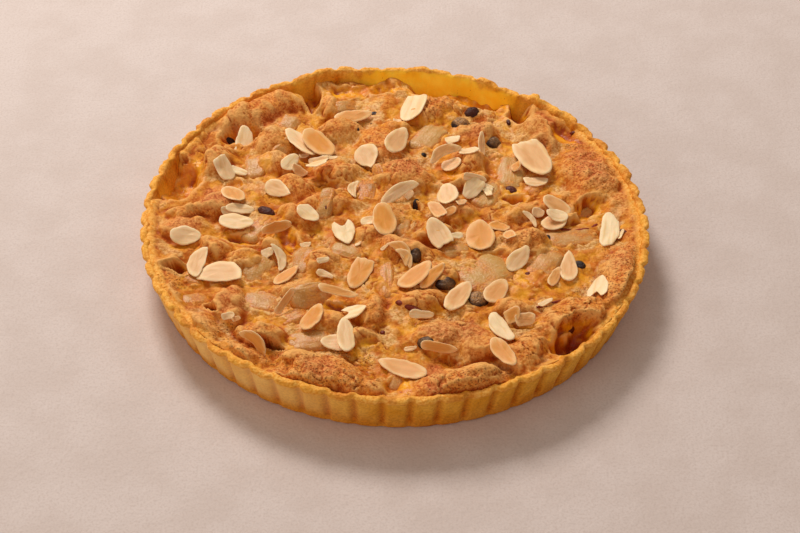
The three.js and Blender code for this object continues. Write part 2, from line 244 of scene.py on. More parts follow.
def batterMaterial():
    material, tree, shader = newMaterial("bakedBatter", 0.6, Specular_IOR_Level=0.15)
    mottle, fine, speckle = grain(tree, 7, 6, 0.5), grain(tree, 1.3, 4), grain(tree, 0.8, 2)
    fibrous, amber = grain(tree, 3.2, 5, 1.2), stored(tree, "amber")
    pores = product(tree, holes(tree, 1.35, 0.4, 0.18), mapped(tree, speckle, 0.36, 0.5),
                    mapped(tree, stored(tree, "porous"), 0, 1, 0, 0.7))
    dusted = product(tree, mapped(tree, speckle, 0.54, 0.68, 0, 0.6), stored(tree, "browned"))
    colour = coated(tree, mottled(tree, mottle, (224, 152, 44), (192, 104, 10), 0.38, 0.62), [
        (mapped(tree, fibrous, 0.48, 0.36, 0, 0.5), (170, 84, 12)),
        (mapped(tree, fibrous, 0.54, 0.68, 0, 0.6), (240, 190, 104)),
        ("browned", mottled(tree, fine, (188, 84, 8), (244, 168, 84), 0.32, 0.68)),
        ("blush", mottled(tree, fine, (174, 76, 26), (232, 150, 90), 0.32, 0.68)),
        ("pale", mottled(tree, fine, (204, 140, 58), (242, 202, 136))),
        (amber, mottled(tree, mottle, (252, 184, 4), (224, 126, 0), 0.3, 0.7)),
        # painted highlight on ridges and painted shade in creases
        ("ridgeHighlight", (244, 190, 118)),
        ("crease", (172, 72, 0)),
        # painted shade in the deepest hollow
        ("caveShade", (150, 46, 2)),
        # painted shade in the small pores
        (pores, (146, 68, 14)),
        (dusted, (244, 182, 112)),
    ])
    colour = mixed(tree, 1.0, colour, (0.96, 0.88, 0.72, 1), "MULTIPLY")  # a little browner all over
    colour = coated(tree, colour, [("rimmed", mottled(tree, fine, (250, 186, 92), (232, 148, 46)))])
    # wet custard between the mounds is smoother and catches the light
    wet = maths(tree, "MAXIMUM", amber, product(tree, stored(tree, "pale"), 0.8))
    tree.links.new(mapped(tree, wet, 0, 1, 0.68, 0.4), shader.inputs["Roughness"])
    tree.links.new(mapped(tree, wet, 0, 1, 0.15, 0.35), shader.inputs["Specular IOR Level"])
    rough, hollowed = product(tree, fine, mapped(tree, amber, 0, 1, 1, 0.15)), product(tree, pores, -1.0)
    dress(tree, shader, colour, [(fibrous, 0.5), (rough, 0.4), (speckle, 0.15), (hollowed, 0.5)])
    return material


def pearMaterial():
    material, tree, shader = newMaterial("bakedPear", 0.42, Specular_IOR_Level=0.35,
                                         Subsurface_Weight=0.05, Subsurface_Scale=0.003)
    strands = grain(tree, 900, 3, 0.2, stored(tree, "fibre", "Vector"))
    soft, fine = grain(tree, 5, 4), grain(tree, 1.0, 3)
    colour = coated(tree, mottled(tree, soft, (214, 160, 94), (190, 128, 56)), [
        ("green", (198, 150, 76)),
        (mapped(tree, strands, 0.5, 0.75, 0, 0.35), (226, 184, 128)),
        (mapped(tree, fine, 0.55, 0.7, 0, 0.55), (234, 196, 146)),
        (mapped(tree, fine, 0.45, 0.3, 0, 0.5), (186, 112, 44)),
        ("caramel", mottled(tree, soft, (188, 86, 14), (112, 30, 4), 0.4, 0.6)),
        ("glazed", mottled(tree, fine, (228, 150, 58), (190, 100, 18))),
    ])
    dress(tree, shader, colour, [(strands, 0.2), (fine, 0.25)])
    return material


def berryMaterial():
    material, tree, shader = newMaterial("darkBerry", 0.45, Specular_IOR_Level=0.3)
    fine = grain(tree, 0.9, 3)
    colour = coated(tree, mottled(tree, grain(tree, 3, 3), (26, 13, 10), (64, 31, 18)), [
        ("filmed", mottled(tree, fine, (194, 142, 86), (132, 92, 54))),
        ("sticky", (146, 44, 6)),
    ])
    dress(tree, shader, colour, [(grain(tree, 2.2, 4, 1.2), 0.9), (fine, 0.2)])
    return material


def almondMaterial():
    material, tree, shader = newMaterial("flakedAlmond", 0.55, Specular_IOR_Level=0.3,
                                         Subsurface_Weight=0.08, Subsurface_Scale=0.002)
    place = vectorMaths(tree, "ADD", stored(tree, "leaf", "Vector"), stored(tree, "lot", "Vector"))
    streaks = grain(tree, 500, 4, 0.3, place)
    edge, toast = stored(tree, "edge"), stored(tree, "toast")
    heart = maths(tree, "ADD", edge, mapped(tree, streaks, 0.3, 0.7, -0.14, 0.14))
    baked = product(tree, mapped(tree, heart, 0.95, 0.6), toast)
    golden = product(tree, mapped(tree, toast, 0.25, 1.0, 0, 0.65), mapped(tree, edge, 1.05, 0.9))
    colour = coated(tree, mottled(tree, streaks, (250, 220, 174), (240, 198, 138), 0.4, 0.7), [
        (baked, mottled(tree, streaks, (220, 134, 40), (194, 104, 20))),
        (golden, (232, 158, 66)),
    ])
    dress(tree, shader, colour, [(streaks, 0.16), (grain(tree, 0.6, 2), 0.05)])
    return material


def floorMaterial():
    material, tree, shader = newMaterial("paleFloor", 0.75)
    grit = mapped(tree, grain(tree, 1.1, 4), 0.42, 0.7, 0, 0.45)
    colour = coated(tree, mottled(tree, grain(tree, 26, 7), (207, 190, 182), (213, 197, 190)),
                    [(grit, (190, 170, 160))])
    dress(tree, shader, colour, [(grain(tree, 3, 4), 0.25)])
    return material


# Camera, lights and floor. The lights' places and sizes are in metres, and they face the tart
lights = {
    "key": {"place": (-0.5, 1.08, 1.15), "size": 0.5, "power": 22.5, "colour": (1, 0.97, 0.93)},
    "fill": {"place": (-1.05, -1.05, 0.62), "size": 1.2, "power": 5.0, "colour": (1, 0.88, 0.76)},
}
sky = {"strength": 0.4, "colour": (1, 0.9, 0.8)}
floorHalf = 6000


def addCamera():
    elevation, roll = math.radians(view["elevation"]), math.radians(view["roll"])
    forward = Vector((0, math.cos(elevation), -math.sin(elevation)))
    right, down = Vector((1, 0, 0)), Vector((0, -math.sin(elevation), -math.cos(elevation)))
    rolledRight = math.cos(roll) * right + math.sin(roll) * down
    rolledDown = math.cos(roll) * down - math.sin(roll) * right
    turn = Matrix((rolledRight, -rolledDown, -forward)).transposed().to_4x4()
    data = bpy.data.cameras.new("camera")
    data.lens, data.sensor_width, data.clip_start = view["lens"], view["sensor"], 10 * mm
    camera = bpy.data.objects.new("camera", data)
    camera.matrix_world = Matrix.Translation(Vector(view["place"]) * mm) @ turn
    bpy.context.scene.collection.objects.link(camera)
    bpy.context.scene.camera = camera


def addLights():
    for name, setup in lights.items():
        data = bpy.data.lights.new(name, "AREA")
        data.energy, data.size, data.color = setup["power"], setup["size"], setup["colour"]
        lamp = bpy.data.objects.new(name, data)
        lamp.location = setup["place"]
        lamp.rotation_euler = (-Vector(setup["place"])).to_track_quat("-Z", "Y").to_euler()
        bpy.context.scene.collection.objects.link(lamp)
    world = bpy.data.worlds.new("sky")
    world.use_nodes = True
    background = world.node_tree.nodes["Background"]
    background.inputs["Color"].default_value = (*sky["colour"], 1)
    background.inputs["Strength"].default_value = sky["strength"]
    bpy.context.scene.world = world
    bpy.context.scene.view_settings.view_transform = "Standard"


def addFloor():
    corners = [(-floorHalf, -floorHalf, 0), (floorHalf, -floorHalf, 0), (floorHalf, floorHalf, 0),
               (-floorHalf, floorHalf, 0)]
    newMesh("floor", corners, [(0, 1, 2, 3)], floorMaterial())


# The filling's form, the same as the solid's, and its finer relief
filling = {
    "rings": 178, "groundLevel": 19, "creepWidth": 15, "moundPower": 2.6, "hollowPower": 2.8,
    "hollowLip": 21.5, "blend": 1.1, "warp": 2.6, "warpSize": 12, "overhang": 1.4, "fruitLevel": 20,
    "hollowLumps": 1.5, "fruitLumps": 1.1, "calmLumps": 0.3, "calmCrumb": 0.12,
    "edgeLevel": 22.6, "edgeSlope": 140, "grip": 1.0, "rimGrip": 0.9, "rimLevel": 22.9, "rimCrumb": 0.5,
    "caveLevel": 11,
}
# How high, or if below 0 how deep, each kind of relief is on the browned mounds
relief = {
    "lumps": 1.3, "puffs": 1.2, "wrinkles": 0.25, "crumb": 0.2, "cracks": -1.0, "pores": -0.35, "lip": 0.6,
}

# Where the filling meets the crust: angle in degrees, height
edgeLevels = [
    [0, 22.5], [12, 22], [28, 22.5], [40, 22], [50, 21.5], [56, 21.5], [60, 17], [64, 15.5], [70, 13],
    [82, 12], [88, 16], [92, 19.5], [97, 17], [103, 18], [108, 20.5], [112, 22], [117, 15], [122, 20.5],
    [135, 21.5], [150, 21], [157, 20.5], [166, 12], [176, 20.5], [185, 22], [200, 21.5], [220, 21.5],
    [235, 22.5], [262, 22], [271, 20.5], [280, 23], [300, 23], [312, 21], [322, 21.5], [330, 22.5],
    [345, 23], [360, 22.5],
]

# Mounds of batter: x, y, length, width, turn in degrees, height of the top
moundRows = [
    [-30, -104, 54, 26, -8, 28.5], [-41, -95, 24, 12, 2, 28.5], [-25, -112, 12, 14, 80, 25],
    [-8, -112, 17, 16, 40, 25.5], [33, -107, 46, 27, 12, 29], [38, -98, 32, 15, 8, 29.5],
    [-70, -93, 36, 19, -27, 27], [-60, -77, 26, 15, -8, 28], [-88, -76, 22, 15, -38, 25.5],
    [-104, -57, 22, 14, -62, 26.5], [-76, -61, 30, 19, 82, 26], [-108, -34, 20, 13, -62, 25.5],
    [-103, -8, 24, 18, -10, 25], [-103, 4, 24, 12, 14, 25], [-90, 13, 24, 22, 30, 25.5],
    [-88, -22, 18, 15, -30, 24.5], [-90, 48, 24, 15, 55, 26.5], [-78, 87, 46, 18, 42, 26],
    [-61, 95, 24, 16, 35, 25.5], [-66, 62, 24, 20, 60, 25.5], [-37, 92, 22, 15, 10, 24],
    [-73, -29, 20, 14, 10, 25], [-60, -19, 15, 11, 30, 25], [-35, -28, 20, 18, 0, 24],
    [-33, 14, 30, 18, 12, 24.5], [-52, 27, 24, 15, -20, 24.5], [-29, 38, 20, 26, 90, 25],
    [4, 40, 34, 24, -10, 26.5], [17, 92, 30, 24, 12, 24.5], [42, 75, 22, 19, 30, 25.5],
    [71, 79, 36, 17, -48, 26], [97, 42, 48, 28, -64, 26], [68, 15, 40, 12, 32, 24.5],
    [65, -9, 21, 22, 0, 25.5], [108, -33, 56, 23, 78, 27.5], [87, -58, 44, 22, 28, 28],
    [61, -85, 27, 20, 52, 27], [73, -95, 20, 9, 36, 25], [28, -77, 42, 24, 4, 26],
    [-8, -62, 15, 28, 0, 25.5], [-13, -80, 15, 12, 0, 24], [13, -54, 26, 17, -8, 25],
    [4, -17, 36, 15, -18, 25.5], [22, -34, 18, 18, 0, 25], [20, -5, 20, 15, -20, 25.5],
    [-9, 5, 24, 16, 12, 25], [-14, -8, 14, 14, 0, 25], [33, 35, 26, 13, 8, 25],
    [-8, 63, 26, 30, 0, 25], [-31, 72, 26, 22, 20, 24.5], [41, -83, 24, 16, 30, 26],
    [57, -58, 20, 15, -20, 25], [30, 12, 22, 18, 20, 24.5], [-43, -50, 22, 16, 0, 24.5],
    [38, 52, 20, 20, 0, 24.5], [-49, 5, 20, 18, -20, 24.5], [-30, -70, 16, 14, 0, 23.5],
    [86, 8, 10, 8, 0, 23], [-60, 44, 24, 14, -10, 24.5], [0, 76, 18, 14, 0, 24.5],
]

# Hollows: x, y, length, width, turn in degrees, height of the bottom. The place is the opening's.
hollowRows = [
    [-110, 25, 28, 26, 77, 10], [84, -79, 28, 19, 48, 8], [-82, 63, 24, 13, 30, 13],
    [-48, 99, 28, 11, 98, 11], [-27, 104, 22, 12, 8, 17.5], [-8, 108, 18, 12, 0, 16], [18, 115, 28, 26, 0, 8],
    [44, 103, 26, 24, -25, 11], [64, 93, 30, 12, 80, 9], [88, 71, 24, 13, -50, 17.5],
    [98, 14, 22, 13, 20, 13], [-102, -41, 12, 9, 0, 13], [-54, -90, 15, 5, -20, 12],
    [-83, -69, 13, 4, -57, 12], [-42, 46, 20, 8, 10, 14], [-51, -17, 20, 10, -70, 15],
    [9, 12, 7, 10, 0, 14], [-9, -87, 12, 8, 20, 18.5], [-74, -16, 20, 9, -8, 15.5],
    [48, 41, 9, 14, 0, 17], [50, -24, 16, 9, 0, 15.5], [60, 21, 14, 9, 20, 15.5],
    [-83, 27, 8, 11, 0, 16], [-30, -64, 16, 8, 0, 17], [4, -113, 12, 14, 0, 17],
    [60, -73, 15, 5, -8, 15.5], [26, 32, 9, 8, 0, 17.5],
]

# Sticky lumps in the deepest hollow: x, y, length, width, turn in degrees, rise
caveRows = [[80, -84, 13, 9, 40, 4], [91, -77, 14, 6, -35, 5]]

# Pieces of pear: x, y, length, width, turn in degrees, how green, how caramelised
pearRows = [
    [-57, 73, 14, 10, 70, 0.2, 0], [-27, 87, 12, 9, 20, 0.1, 0], [-57, 52, 14, 9, 60, 0.3, 0],
    [16, 65, 21, 13, 60, 0.6, 0], [58, 39, 23, 13, 82, 0.6, 0], [-73, 37, 16, 12, 90, 0.2, 0],
    [46, 22, 20, 13, 62, 0.8, 0], [44, -38, 23, 19, 42, 0.9, 0], [73, -29, 23, 12, 62, 0.2, 0],
    [86, -11, 25, 13, 12, 0, 0], [94, 6, 25, 7, 33, 0.4, 0], [-64, -41, 17, 13, 80, 0.5, 0],
    [-61, -63, 16, 13, -10, 0.1, 0], [-38, -58, 16, 11, 15, 0.1, 0], [-37, -87, 18, 12, 10, 0, 0],
    [3, -111, 11, 8, 85, 0, 0], [-92, -63, 13, 9, 20, 0, 0], [-3, -43, 24, 7, 92, 0.6, 0],
    [-15, 20, 16, 10, 82, 0.6, 0.4], [70, 30, 15, 8, 65, 0.7, 0.3], [-66, -10, 18, 9, 60, 0.7, 0],
    [4, -4, 17, 8, 80, 0.4, 0], [-22, -25, 15, 10, -20, 0.8, 0], [-45, -33, 16, 11, 70, 0, 0],
    [-95, -48, 11, 8, -20, 0, 0], [29, -22, 13, 9, 10, 0.4, 0], [-35, 9, 16, 7, 80, 0.3, 0],
    [-8, 30, 17, 6, 105, 0.4, 0], [68, -44, 14, 6, 90, 0.1, 0], [-45, -72, 13, 9, 30, 0, 0],
]
pearForm = {"depth": 9, "lift": 1.3, "boxiness": 0.62, "roughness": 0.05, "growth": 1.25}

# Dark berries: x, y, length, width, turn in degrees, how much of a dried film on top, how red
berryRows = [
    [32, 77, 11.5, 11, 0, 1, 0], [49, 61, 9, 8.5, 0, 0.5, 0], [39.5, -56, 12, 11.5, 0, 1, 0],
    [25, -47, 10, 8, 10, 0.4, 0], [-64, 2.5, 10, 6, -25, 0, 0.2], [16, -86.5, 9, 7, 0, 0.3, 0],
    [10.5, -28, 8, 6, 90, 0.2, 0], [75, -12, 9, 6, 98, 0, 0], [57, 24, 8, 6, -15, 0, 0.3],
    [89, -30, 8, 6, -40, 0, 0], [82, -76, 7, 6, 0, 0, 0.3], [38.5, 86.5, 9, 8, 30, 0, 0.1],
]
berryForm = {"lift": 2.6, "boxiness": 1.0, "roughness": 0.12}


def slideToHeight(x, y, height):  # a place as seen, moved along the sight line to a height
    share = (height - tart["rimHeight"]) / (view["place"][2] - tart["rimHeight"])
    return x + (view["place"][0] - x) * share, y + (view["place"][1] - y) * share


def seenAt(x, y, z):  # where the viewer sees a point, taken at the rim's height
    share = (view["place"][2] - tart["rimHeight"]) / (view["place"][2] - z)
    eyeX, eyeY = view["place"][:2]
    return eyeX + (x - eyeX) * share, eyeY + (y - eyeY) * share


def ellipseReach(row, x, y, middleX, middleY):  # 0 in the middle of the row's ellipse, 1 at its edge
    turn = math.radians(row[4])
    along = (x - middleX) * math.cos(turn) + (y - middleY) * math.sin(turn)
    across = (y - middleY) * math.cos(turn) - (x - middleX) * math.sin(turn)
    return np.hypot(2 * along / row[2], 2 * across / row[3])


def reach(row, x, y, height):  # the same for an ellipse that is seen at a place and lies at a height
    return ellipseReach(row, x, y, *slideToHeight(row[0], row[1], height))


def softMax(heights, blend):  # the highest of them, rounded where two meet
    heights = np.array(heights)
    highest = heights.max(axis=0)
    return highest + blend * np.log(np.exp((heights - highest) / blend).sum(axis=0))


def fillingHeight(x, y):
    f = filling
    edge = tart["innerRimRadius"]
    level = np.interp(np.degrees(np.arctan2(y, x)) % 360, *np.transpose(edgeLevels))
    creep = smooth(edge - f["creepWidth"], edge, np.hypot(x, y))
    ground = f["groundLevel"] + (level - f["groundLevel"]) * creep
    rises = [row[5] - (row[5] - f["groundLevel"]) * reach(row, x, y, row[5]) ** f["moundPower"]
             for row in moundRows]
    dips = [row[5] + (f["hollowLip"] - row[5]) * reach(row, x, y, f["hollowLip"]) ** f["hollowPower"]
            for row in hollowRows]
    risen = softMax([ground, *rises], f["blend"])
    return -softMax([-risen, *[-dip for dip in dips]], f["blend"])


def innerRadius(height):  # of the case's leaning wall
    lean = (tart["innerRimRadius"] - tart["innerFloorRadius"]) / (tart["rimHeight"] - tart["floorThickness"])
    return tart["innerFloorRadius"] + lean * (height - tart["floorThickness"])


# Patches of finish, and of painted shade in the deepest hollow, on the filling: x, y, length, width, turn in
# degrees, strength
patches = {
    "caveShade": [[84, -80, 34, 26, 48, 1]],
    "blush": [
        [-89, 13, 20, 18, 30, 1], [-103, -10, 24, 12, 0, 0.6], [-75, -62, 18, 26, 0, 0.7],
        [4, 41, 26, 14, -10, 0.8], [97, 44, 34, 16, -64, 0.9], [4, -17, 26, 10, -18, 0.7],
        [28, -77, 34, 14, 4, 0.8], [20, -109, 10, 18, 10, 0.9], [-66, 76, 20, 16, 40, 0.8],
        [40, 72, 22, 16, 30, 0.8], [80, 62, 24, 12, -48, 0.7], [-32, -101, 18, 12, 0, 0.7],
        [104, -22, 18, 26, 80, 0.5], [60, -8, 16, 10, 0, 0.4], [80, 84, 20, 14, -40, 0.7],
        [-92, -70, 16, 10, -30, 0.5], [30, 10, 18, 12, 20, 0.5], [-2, -60, 14, 26, 0, 0.5],
    ],
    "porous": [
        [108, -33, 52, 26, 78, 1], [87, -58, 44, 20, 28, 0.8], [-30, -104, 56, 26, -8, 1],
        [33, -107, 44, 24, 12, 0.8], [-8, -70, 18, 40, 0, 0.6], [65, -10, 22, 20, 0, 0.7],
        [97, 42, 46, 24, -64, 0.8], [17, 92, 28, 20, 12, 0.8], [-70, -85, 36, 24, -20, 0.9],
        [-103, -50, 20, 26, -60, 0.8], [-70, 76, 40, 20, 42, 0.5], [28, -77, 40, 20, 4, 0.5],
        [4, 41, 30, 18, -10, 0.6], [-95, 5, 34, 26, 10, 0.4], [42, 75, 22, 18, 30, 0.7],
        [12, 2, 40, 26, -20, 0.5], [61, -86, 24, 16, 50, 0.6], [-75, 12, 30, 20, 0, 0.4],
    ],
    "amber": [
        [27, 33, 10, 10, 0, 1], [-106, 25, 30, 20, 74, 0.9], [4, -115, 16, 16, 0, 1],
        [60, 20, 20, 11, 20, 0.9], [62, -41, 14, 14, 0, 0.8], [-29, -65, 16, 9, 0, 0.9],
        [48, 40, 12, 18, 0, 0.7], [84, -80, 30, 20, 48, 1], [14, 113, 24, 18, 0, 0.6],
        [42, 100, 20, 14, 0, 0.9], [60, 92, 12, 28, 0, 1], [-49, 101, 12, 22, -18, 1],
        [-74, 20, 14, 8, 0, 0.4], [-68, 40, 10, 12, 0, 0.6], [2, 26, 8, 14, -10, 0.5],
        [56, 56, 12, 12, 0, 0.7], [36, 60, 14, 10, 20, 0.5], [60, -52, 12, 8, 0, 0.5],
        [92, 0, 16, 8, 20, 0.5], [-10, 96, 20, 10, 0, 0.3], [66, -70, 16, 8, 0, 0.6],
        [8, 78, 16, 12, 0, 0.6], [-24, -50, 14, 8, 30, 0.5], [-46, -66, 12, 10, 0, 0.5],
    ],
    "pale": [
        [-60, 70, 18, 14, 60, 0.7], [-64, 44, 22, 12, 30, 0.6], [-48, -50, 26, 18, 0, 0.5],
        [-70, -40, 22, 16, 0, 0.6], [-50, -66, 36, 20, -10, 0.95], [62, 44, 14, 26, 0, 0.5],
        [45, 20, 22, 16, 60, 0.5], [-2, -44, 10, 26, 0, 0.6], [86, -12, 26, 14, 10, 0.4],
        [-70, -8, 20, 12, 50, 0.4], [16, 64, 24, 14, 60, 0.5], [-30, 60, 20, 14, 0, 0.4],
        [0, 10, 12, 22, 0, 0.4], [-35, -86, 22, 14, 10, 0.6], [-30, 50, 16, 12, 0, 0.4],
    ],
}


def patchShare(name, x, y, ragged):  # how much of a finish there is at each point, with ragged edges
    shares = [row[5] * (1 - smooth(0.55, 1.25, ellipseReach(row, x, y, row[0], row[1]) + ragged))
              for row in patches[name]]
    return np.max(shares, axis=0)


def hexDisc(rings):  # ring k has 6k points, so the triangles stay near equal
    shares, angles, faces = [np.zeros(1)], [np.zeros(1)], []
    first = lambda ring: 1 + 3 * ring * (ring - 1) if ring else 0
    for ring in range(1, rings + 1):
        count, innerCount = 6 * ring, max(1, 6 * (ring - 1))
        shares.append(np.full(count, ring / rings))
        angles.append(np.arange(count) * math.pi / (3 * ring))
        sector, step = np.divmod(np.arange(count), ring)
        inner = sector * (ring - 1) + step
        near, far = first(ring) + np.arange(count), first(ring) + (np.arange(count) + 1) % count
        faces.append(np.stack([near, far, first(ring - 1) + inner % innerCount], 1))
        between = np.stack([first(ring - 1) + inner % innerCount, far,
                            first(ring - 1) + (inner + 1) % innerCount], 1)
        faces.append(between[step < ring - 1])
    return np.concatenate(shares), np.concatenate(angles), np.concatenate(faces)


def spread(values, faces, rounds):  # the mean over neighbouring points, again and again
    ends = np.concatenate([faces[:, [0, 1]], faces[:, [1, 2]], faces[:, [2, 0]]])
    count = np.bincount(ends[:, 0], minlength=len(values)) + np.bincount(ends[:, 1], minlength=len(values))
    for _ in range(rounds):
        total = (np.bincount(ends[:, 0], values[ends[:, 1]], len(values))
                 + np.bincount(ends[:, 1], values[ends[:, 0]], len(values)))
        values = 0.5 * values + 0.5 * total / np.maximum(count, 1)
    return values


def closeBelow(points, faces):  # adds the filling's side and underside, just clear of the case
    count = 6 * filling["rings"]
    rim, foot = len(points) - count, len(points)
    step = np.arange(count)
    after, middle = (step + 1) % count, np.full(count, foot + count)
    footHeight = tart["floorThickness"] + tart["clearance"]
    footRadius = innerRadius(footHeight) - tart["clearance"]
    footAngle = step * 2 * math.pi / count
    footPoints = np.stack([footRadius * np.cos(footAngle), footRadius * np.sin(footAngle),
                           np.full(count, footHeight)], 1)
    sides = [[foot + step, foot + after, rim + after], [foot + step, rim + after, rim + step],
             [middle, foot + after, foot + step]]
    faces = np.concatenate([faces, *(np.stack(side, 1) for side in sides)])
    return np.concatenate([points, footPoints, [[0, 0, footHeight]]]), faces


def addFilling():
    f = filling
    share, angle, faces = hexDisc(f["rings"])
    x, y = (share * tart["innerRimRadius"] * wave(angle) for wave in (np.cos, np.sin))
    flat = np.stack([x, y, np.zeros_like(x)], 1)
    warpX = x + f["warp"] * fractal(flat, f["warpSize"], 3, 11)
    warpY = y + f["warp"] * fractal(flat, f["warpSize"], 3, 23)
    height = fillingHeight(warpX, warpY)
    hollow, fruit = (np.minimum.reduce([reach(row, warpX, warpY, level) for row in rows]) for rows, level
                     in ((hollowRows, f["hollowLip"]), (pearRows + berryRows, f["fruitLevel"])))
    inHollow, nearFruit = 1 - smooth(0.7, 1.0, hollow), 1 - smooth(0.9, 1.4, fruit)
    seenX, seenY = seenAt(x, y, height)
    ragged = 0.3 * fractal(flat, 6, 3, 71)
    finishAndPaintedLight = {name: patchShare(name, seenX, seenY, ragged) for name in patches}

    # relief, strongest on the browned mounds
    rough = (1 - 0.9 * inHollow) * (1 - 0.7 * nearFruit) * (1 - 0.6 * finishAndPaintedLight["amber"])
    cracks = 1 - smooth(0.0, 0.09, np.abs(fractal(flat, 13, 3, 47)))
    forms = {
        "lumps": fractal(flat, 11, 2, 31),
        "puffs": np.abs(fractal(flat, 7.5, 2, 41)) - 0.35,
        "wrinkles": 0.3 - np.abs(noise(flat, 3.2, 43)) - 0.3 * np.abs(noise(flat, 1.9, 44)),
        "crumb": fractal(flat, 2.1, 2, 51),
        "cracks": cracks * smooth(0, 0.3, noise(flat, 21, 48)),
        "pores": smooth(0.25, 0.7, noise(flat, 1.7, 57)) * finishAndPaintedLight["porous"],
        "lip": np.exp(-((hollow - 1.08) / 0.12) ** 2) * smooth(1, 0.9, share),
    }
    height = height + rough * sum(relief[name] * form for name, form in forms.items())
    height += (1 - rough) * (f["calmLumps"] * forms["lumps"] + f["calmCrumb"] * forms["crumb"])
    height += f["hollowLumps"] * inHollow * fractal(flat, 5.5, 2, 81)
    height += f["fruitLumps"] * nearFruit * fractal(flat, 4.2, 2, 63)
    height = np.minimum(height, f["edgeLevel"] + f["edgeSlope"] * (1 - share))

    # a crumbly edge along the case on the left and the right, and sticky lumps in the deepest hollow
    beside = smooth(0.45, 0.8, np.abs(np.cos(angle))) * smooth(19, 21, height)
    rimmed = smooth(0.972, 0.984, share + 0.008 * fractal(flat, 5, 2, 85)) * beside
    height += rimmed * (f["rimLevel"] + f["rimCrumb"] * noise(flat, 3, 86) - height)
    for row in caveRows:
        lump = 1 - smooth(0.2, 1.1, reach(row, warpX, warpY, f["caveLevel"]))
        height += row[5] * lump * smooth(17, 13, height)
    reachOut = f["grip"] + f["rimGrip"] * rimmed + f["overhang"] * smooth(23.5, 27, height)
    radius = (innerRadius(height) + reachOut) * share
    points = np.stack([radius * np.cos(angle), radius * np.sin(angle), height], 1)
    points, allFaces = closeBelow(points, faces)
    piece = newMesh("bakedFilling", points, allFaces.tolist(), batterMaterial())

    # how the finish varies, with painted shade in creases and painted highlights on ridges
    cavity, narrow = spread(height, faces, 26) - height, spread(height, faces, 4) - height
    low, browned = 1 - smooth(19.5, 23, height), smooth(18, 25, height)
    creamy, golden = smooth(0.0, 0.35, fractal(flat, 10, 4, 91)), smooth(0.05, 0.4, fractal(flat, 8, 4, 95))
    finishAndPaintedLight["browned"] = np.clip(browned + 0.4 * forms["lumps"] + 0.5 * forms["puffs"] - 0.5 * nearFruit, 0, 1)
    finishAndPaintedLight["pale"] = np.maximum(finishAndPaintedLight["pale"], (0.25 + 0.6 * low) * creamy)
    finishAndPaintedLight["amber"] = np.maximum.reduce([finishAndPaintedLight["amber"], 0.5 * low * golden, 0.85 * inHollow])
    # painted shade in creases and painted highlight on ridges, from how far each point lies below or above
    # its neighbours
    finishAndPaintedLight["crease"] = np.maximum(smooth(0.3, 1.3, cavity), smooth(0.1, 0.38, narrow)) * 0.95
    finishAndPaintedLight["crease"] *= 1 - 0.6 * finishAndPaintedLight["pale"]
    finishAndPaintedLight["ridgeHighlight"] = np.maximum(smooth(0.2, 1.1, -cavity), smooth(0.1, 0.33, -narrow)) * 0.75
    # painted shade, darker where the hollow goes deeper
    finishAndPaintedLight["caveShade"] *= smooth(16, 10, height) * 0.9
    finishAndPaintedLight["rimmed"] = rimmed
    for name, values in finishAndPaintedLight.items():
        addAttribute(piece, name, np.pad(values, (0, len(points) - len(values))))
    return piece


# Lumps of fruit that sit in the filling
def ballPoints(fineness):
    ball = bmesh.new()
    bmesh.ops.create_icosphere(ball, subdivisions=fineness, radius=1)
    points = np.array([vert.co[:] for vert in ball.verts])
    faces = np.array([[vert.index for vert in face.verts] for face in ball.faces])
    ball.free()
    return points, faces


def placeOnFilling(x, y):  # walks down the sight line until it meets the filling
    for z in np.arange(1.5 * tart["rimHeight"], tart["floorThickness"], -0.25):
        seenX, seenY = slideToHeight(x, y, z)
        if fillingHeight(seenX, seenY) >= z:
            return np.array([seenX, seenY, z])
    return np.array([*slideToHeight(x, y, filling["groundLevel"]), filling["groundLevel"]])


def surfaceNormal(x, y, span):
    slopeX = (fillingHeight(x + span, y) - fillingHeight(x - span, y)) / (2 * span)
    slopeY = (fillingHeight(x, y + span) - fillingHeight(x, y - span)) / (2 * span)
    normal = np.array([-slopeX, -slopeY, 1])
    return normal / np.linalg.norm(normal)


# One lump, turned to lie in the filling: its points, and the same points about its own middle
def fruitLump(row, depth, lift, boxiness, ball, roughness, seed, growth=1, seat=None):
    middle = placeOnFilling(row[0], row[1]) if seat is None else seat
    normal = surfaceNormal(middle[0], middle[1], max(row[3] / 3, 1.5))
    middle = middle + normal * (lift - depth / 2)
    # clear of the case's floor, also where the lump leans
    middle[2] = max(middle[2], tart["floorThickness"] + depth / 2 + 0.8 + row[3] / 4)
    turn = math.radians(row[4])
    along = np.array([math.cos(turn), math.sin(turn), 0])
    along -= normal * along.dot(normal)
    along /= np.linalg.norm(along)
    across = np.cross(normal, along)
    local = np.sign(ball) * np.abs(ball) ** boxiness * np.array([row[2] * growth, row[3] * growth, depth]) / 2
    local *= 1 + roughness * fractal(local + 50 * seed, 5, 3, seed)[:, None]
    return middle + local @ np.stack([along, across, normal]), local


def heightOver(surface, points):  # how far points stand above the filling
    gaps = []
    for place in points * mm:
        hit = surface.ray_cast(Vector((place[0], place[1], wellAbove)), Vector((0, 0, -1)))[0]
        gaps.append((place[2] - hit.z) / mm if hit else tart["rimHeight"])  # nothing below it
    return np.array(gaps)


def joinLumps(name, lumps, material, looks):  # lumps of points and faces as one piece
    starts = np.cumsum([0] + [len(points) for points, _ in lumps])
    faces = np.concatenate([faces + start for (_, faces), start in zip(lumps, starts)])
    piece = newMesh(name, np.concatenate([points for points, _ in lumps]), faces.tolist(), material)
    for look, values in looks.items():
        addAttribute(piece, look, np.concatenate(values))
    return piece


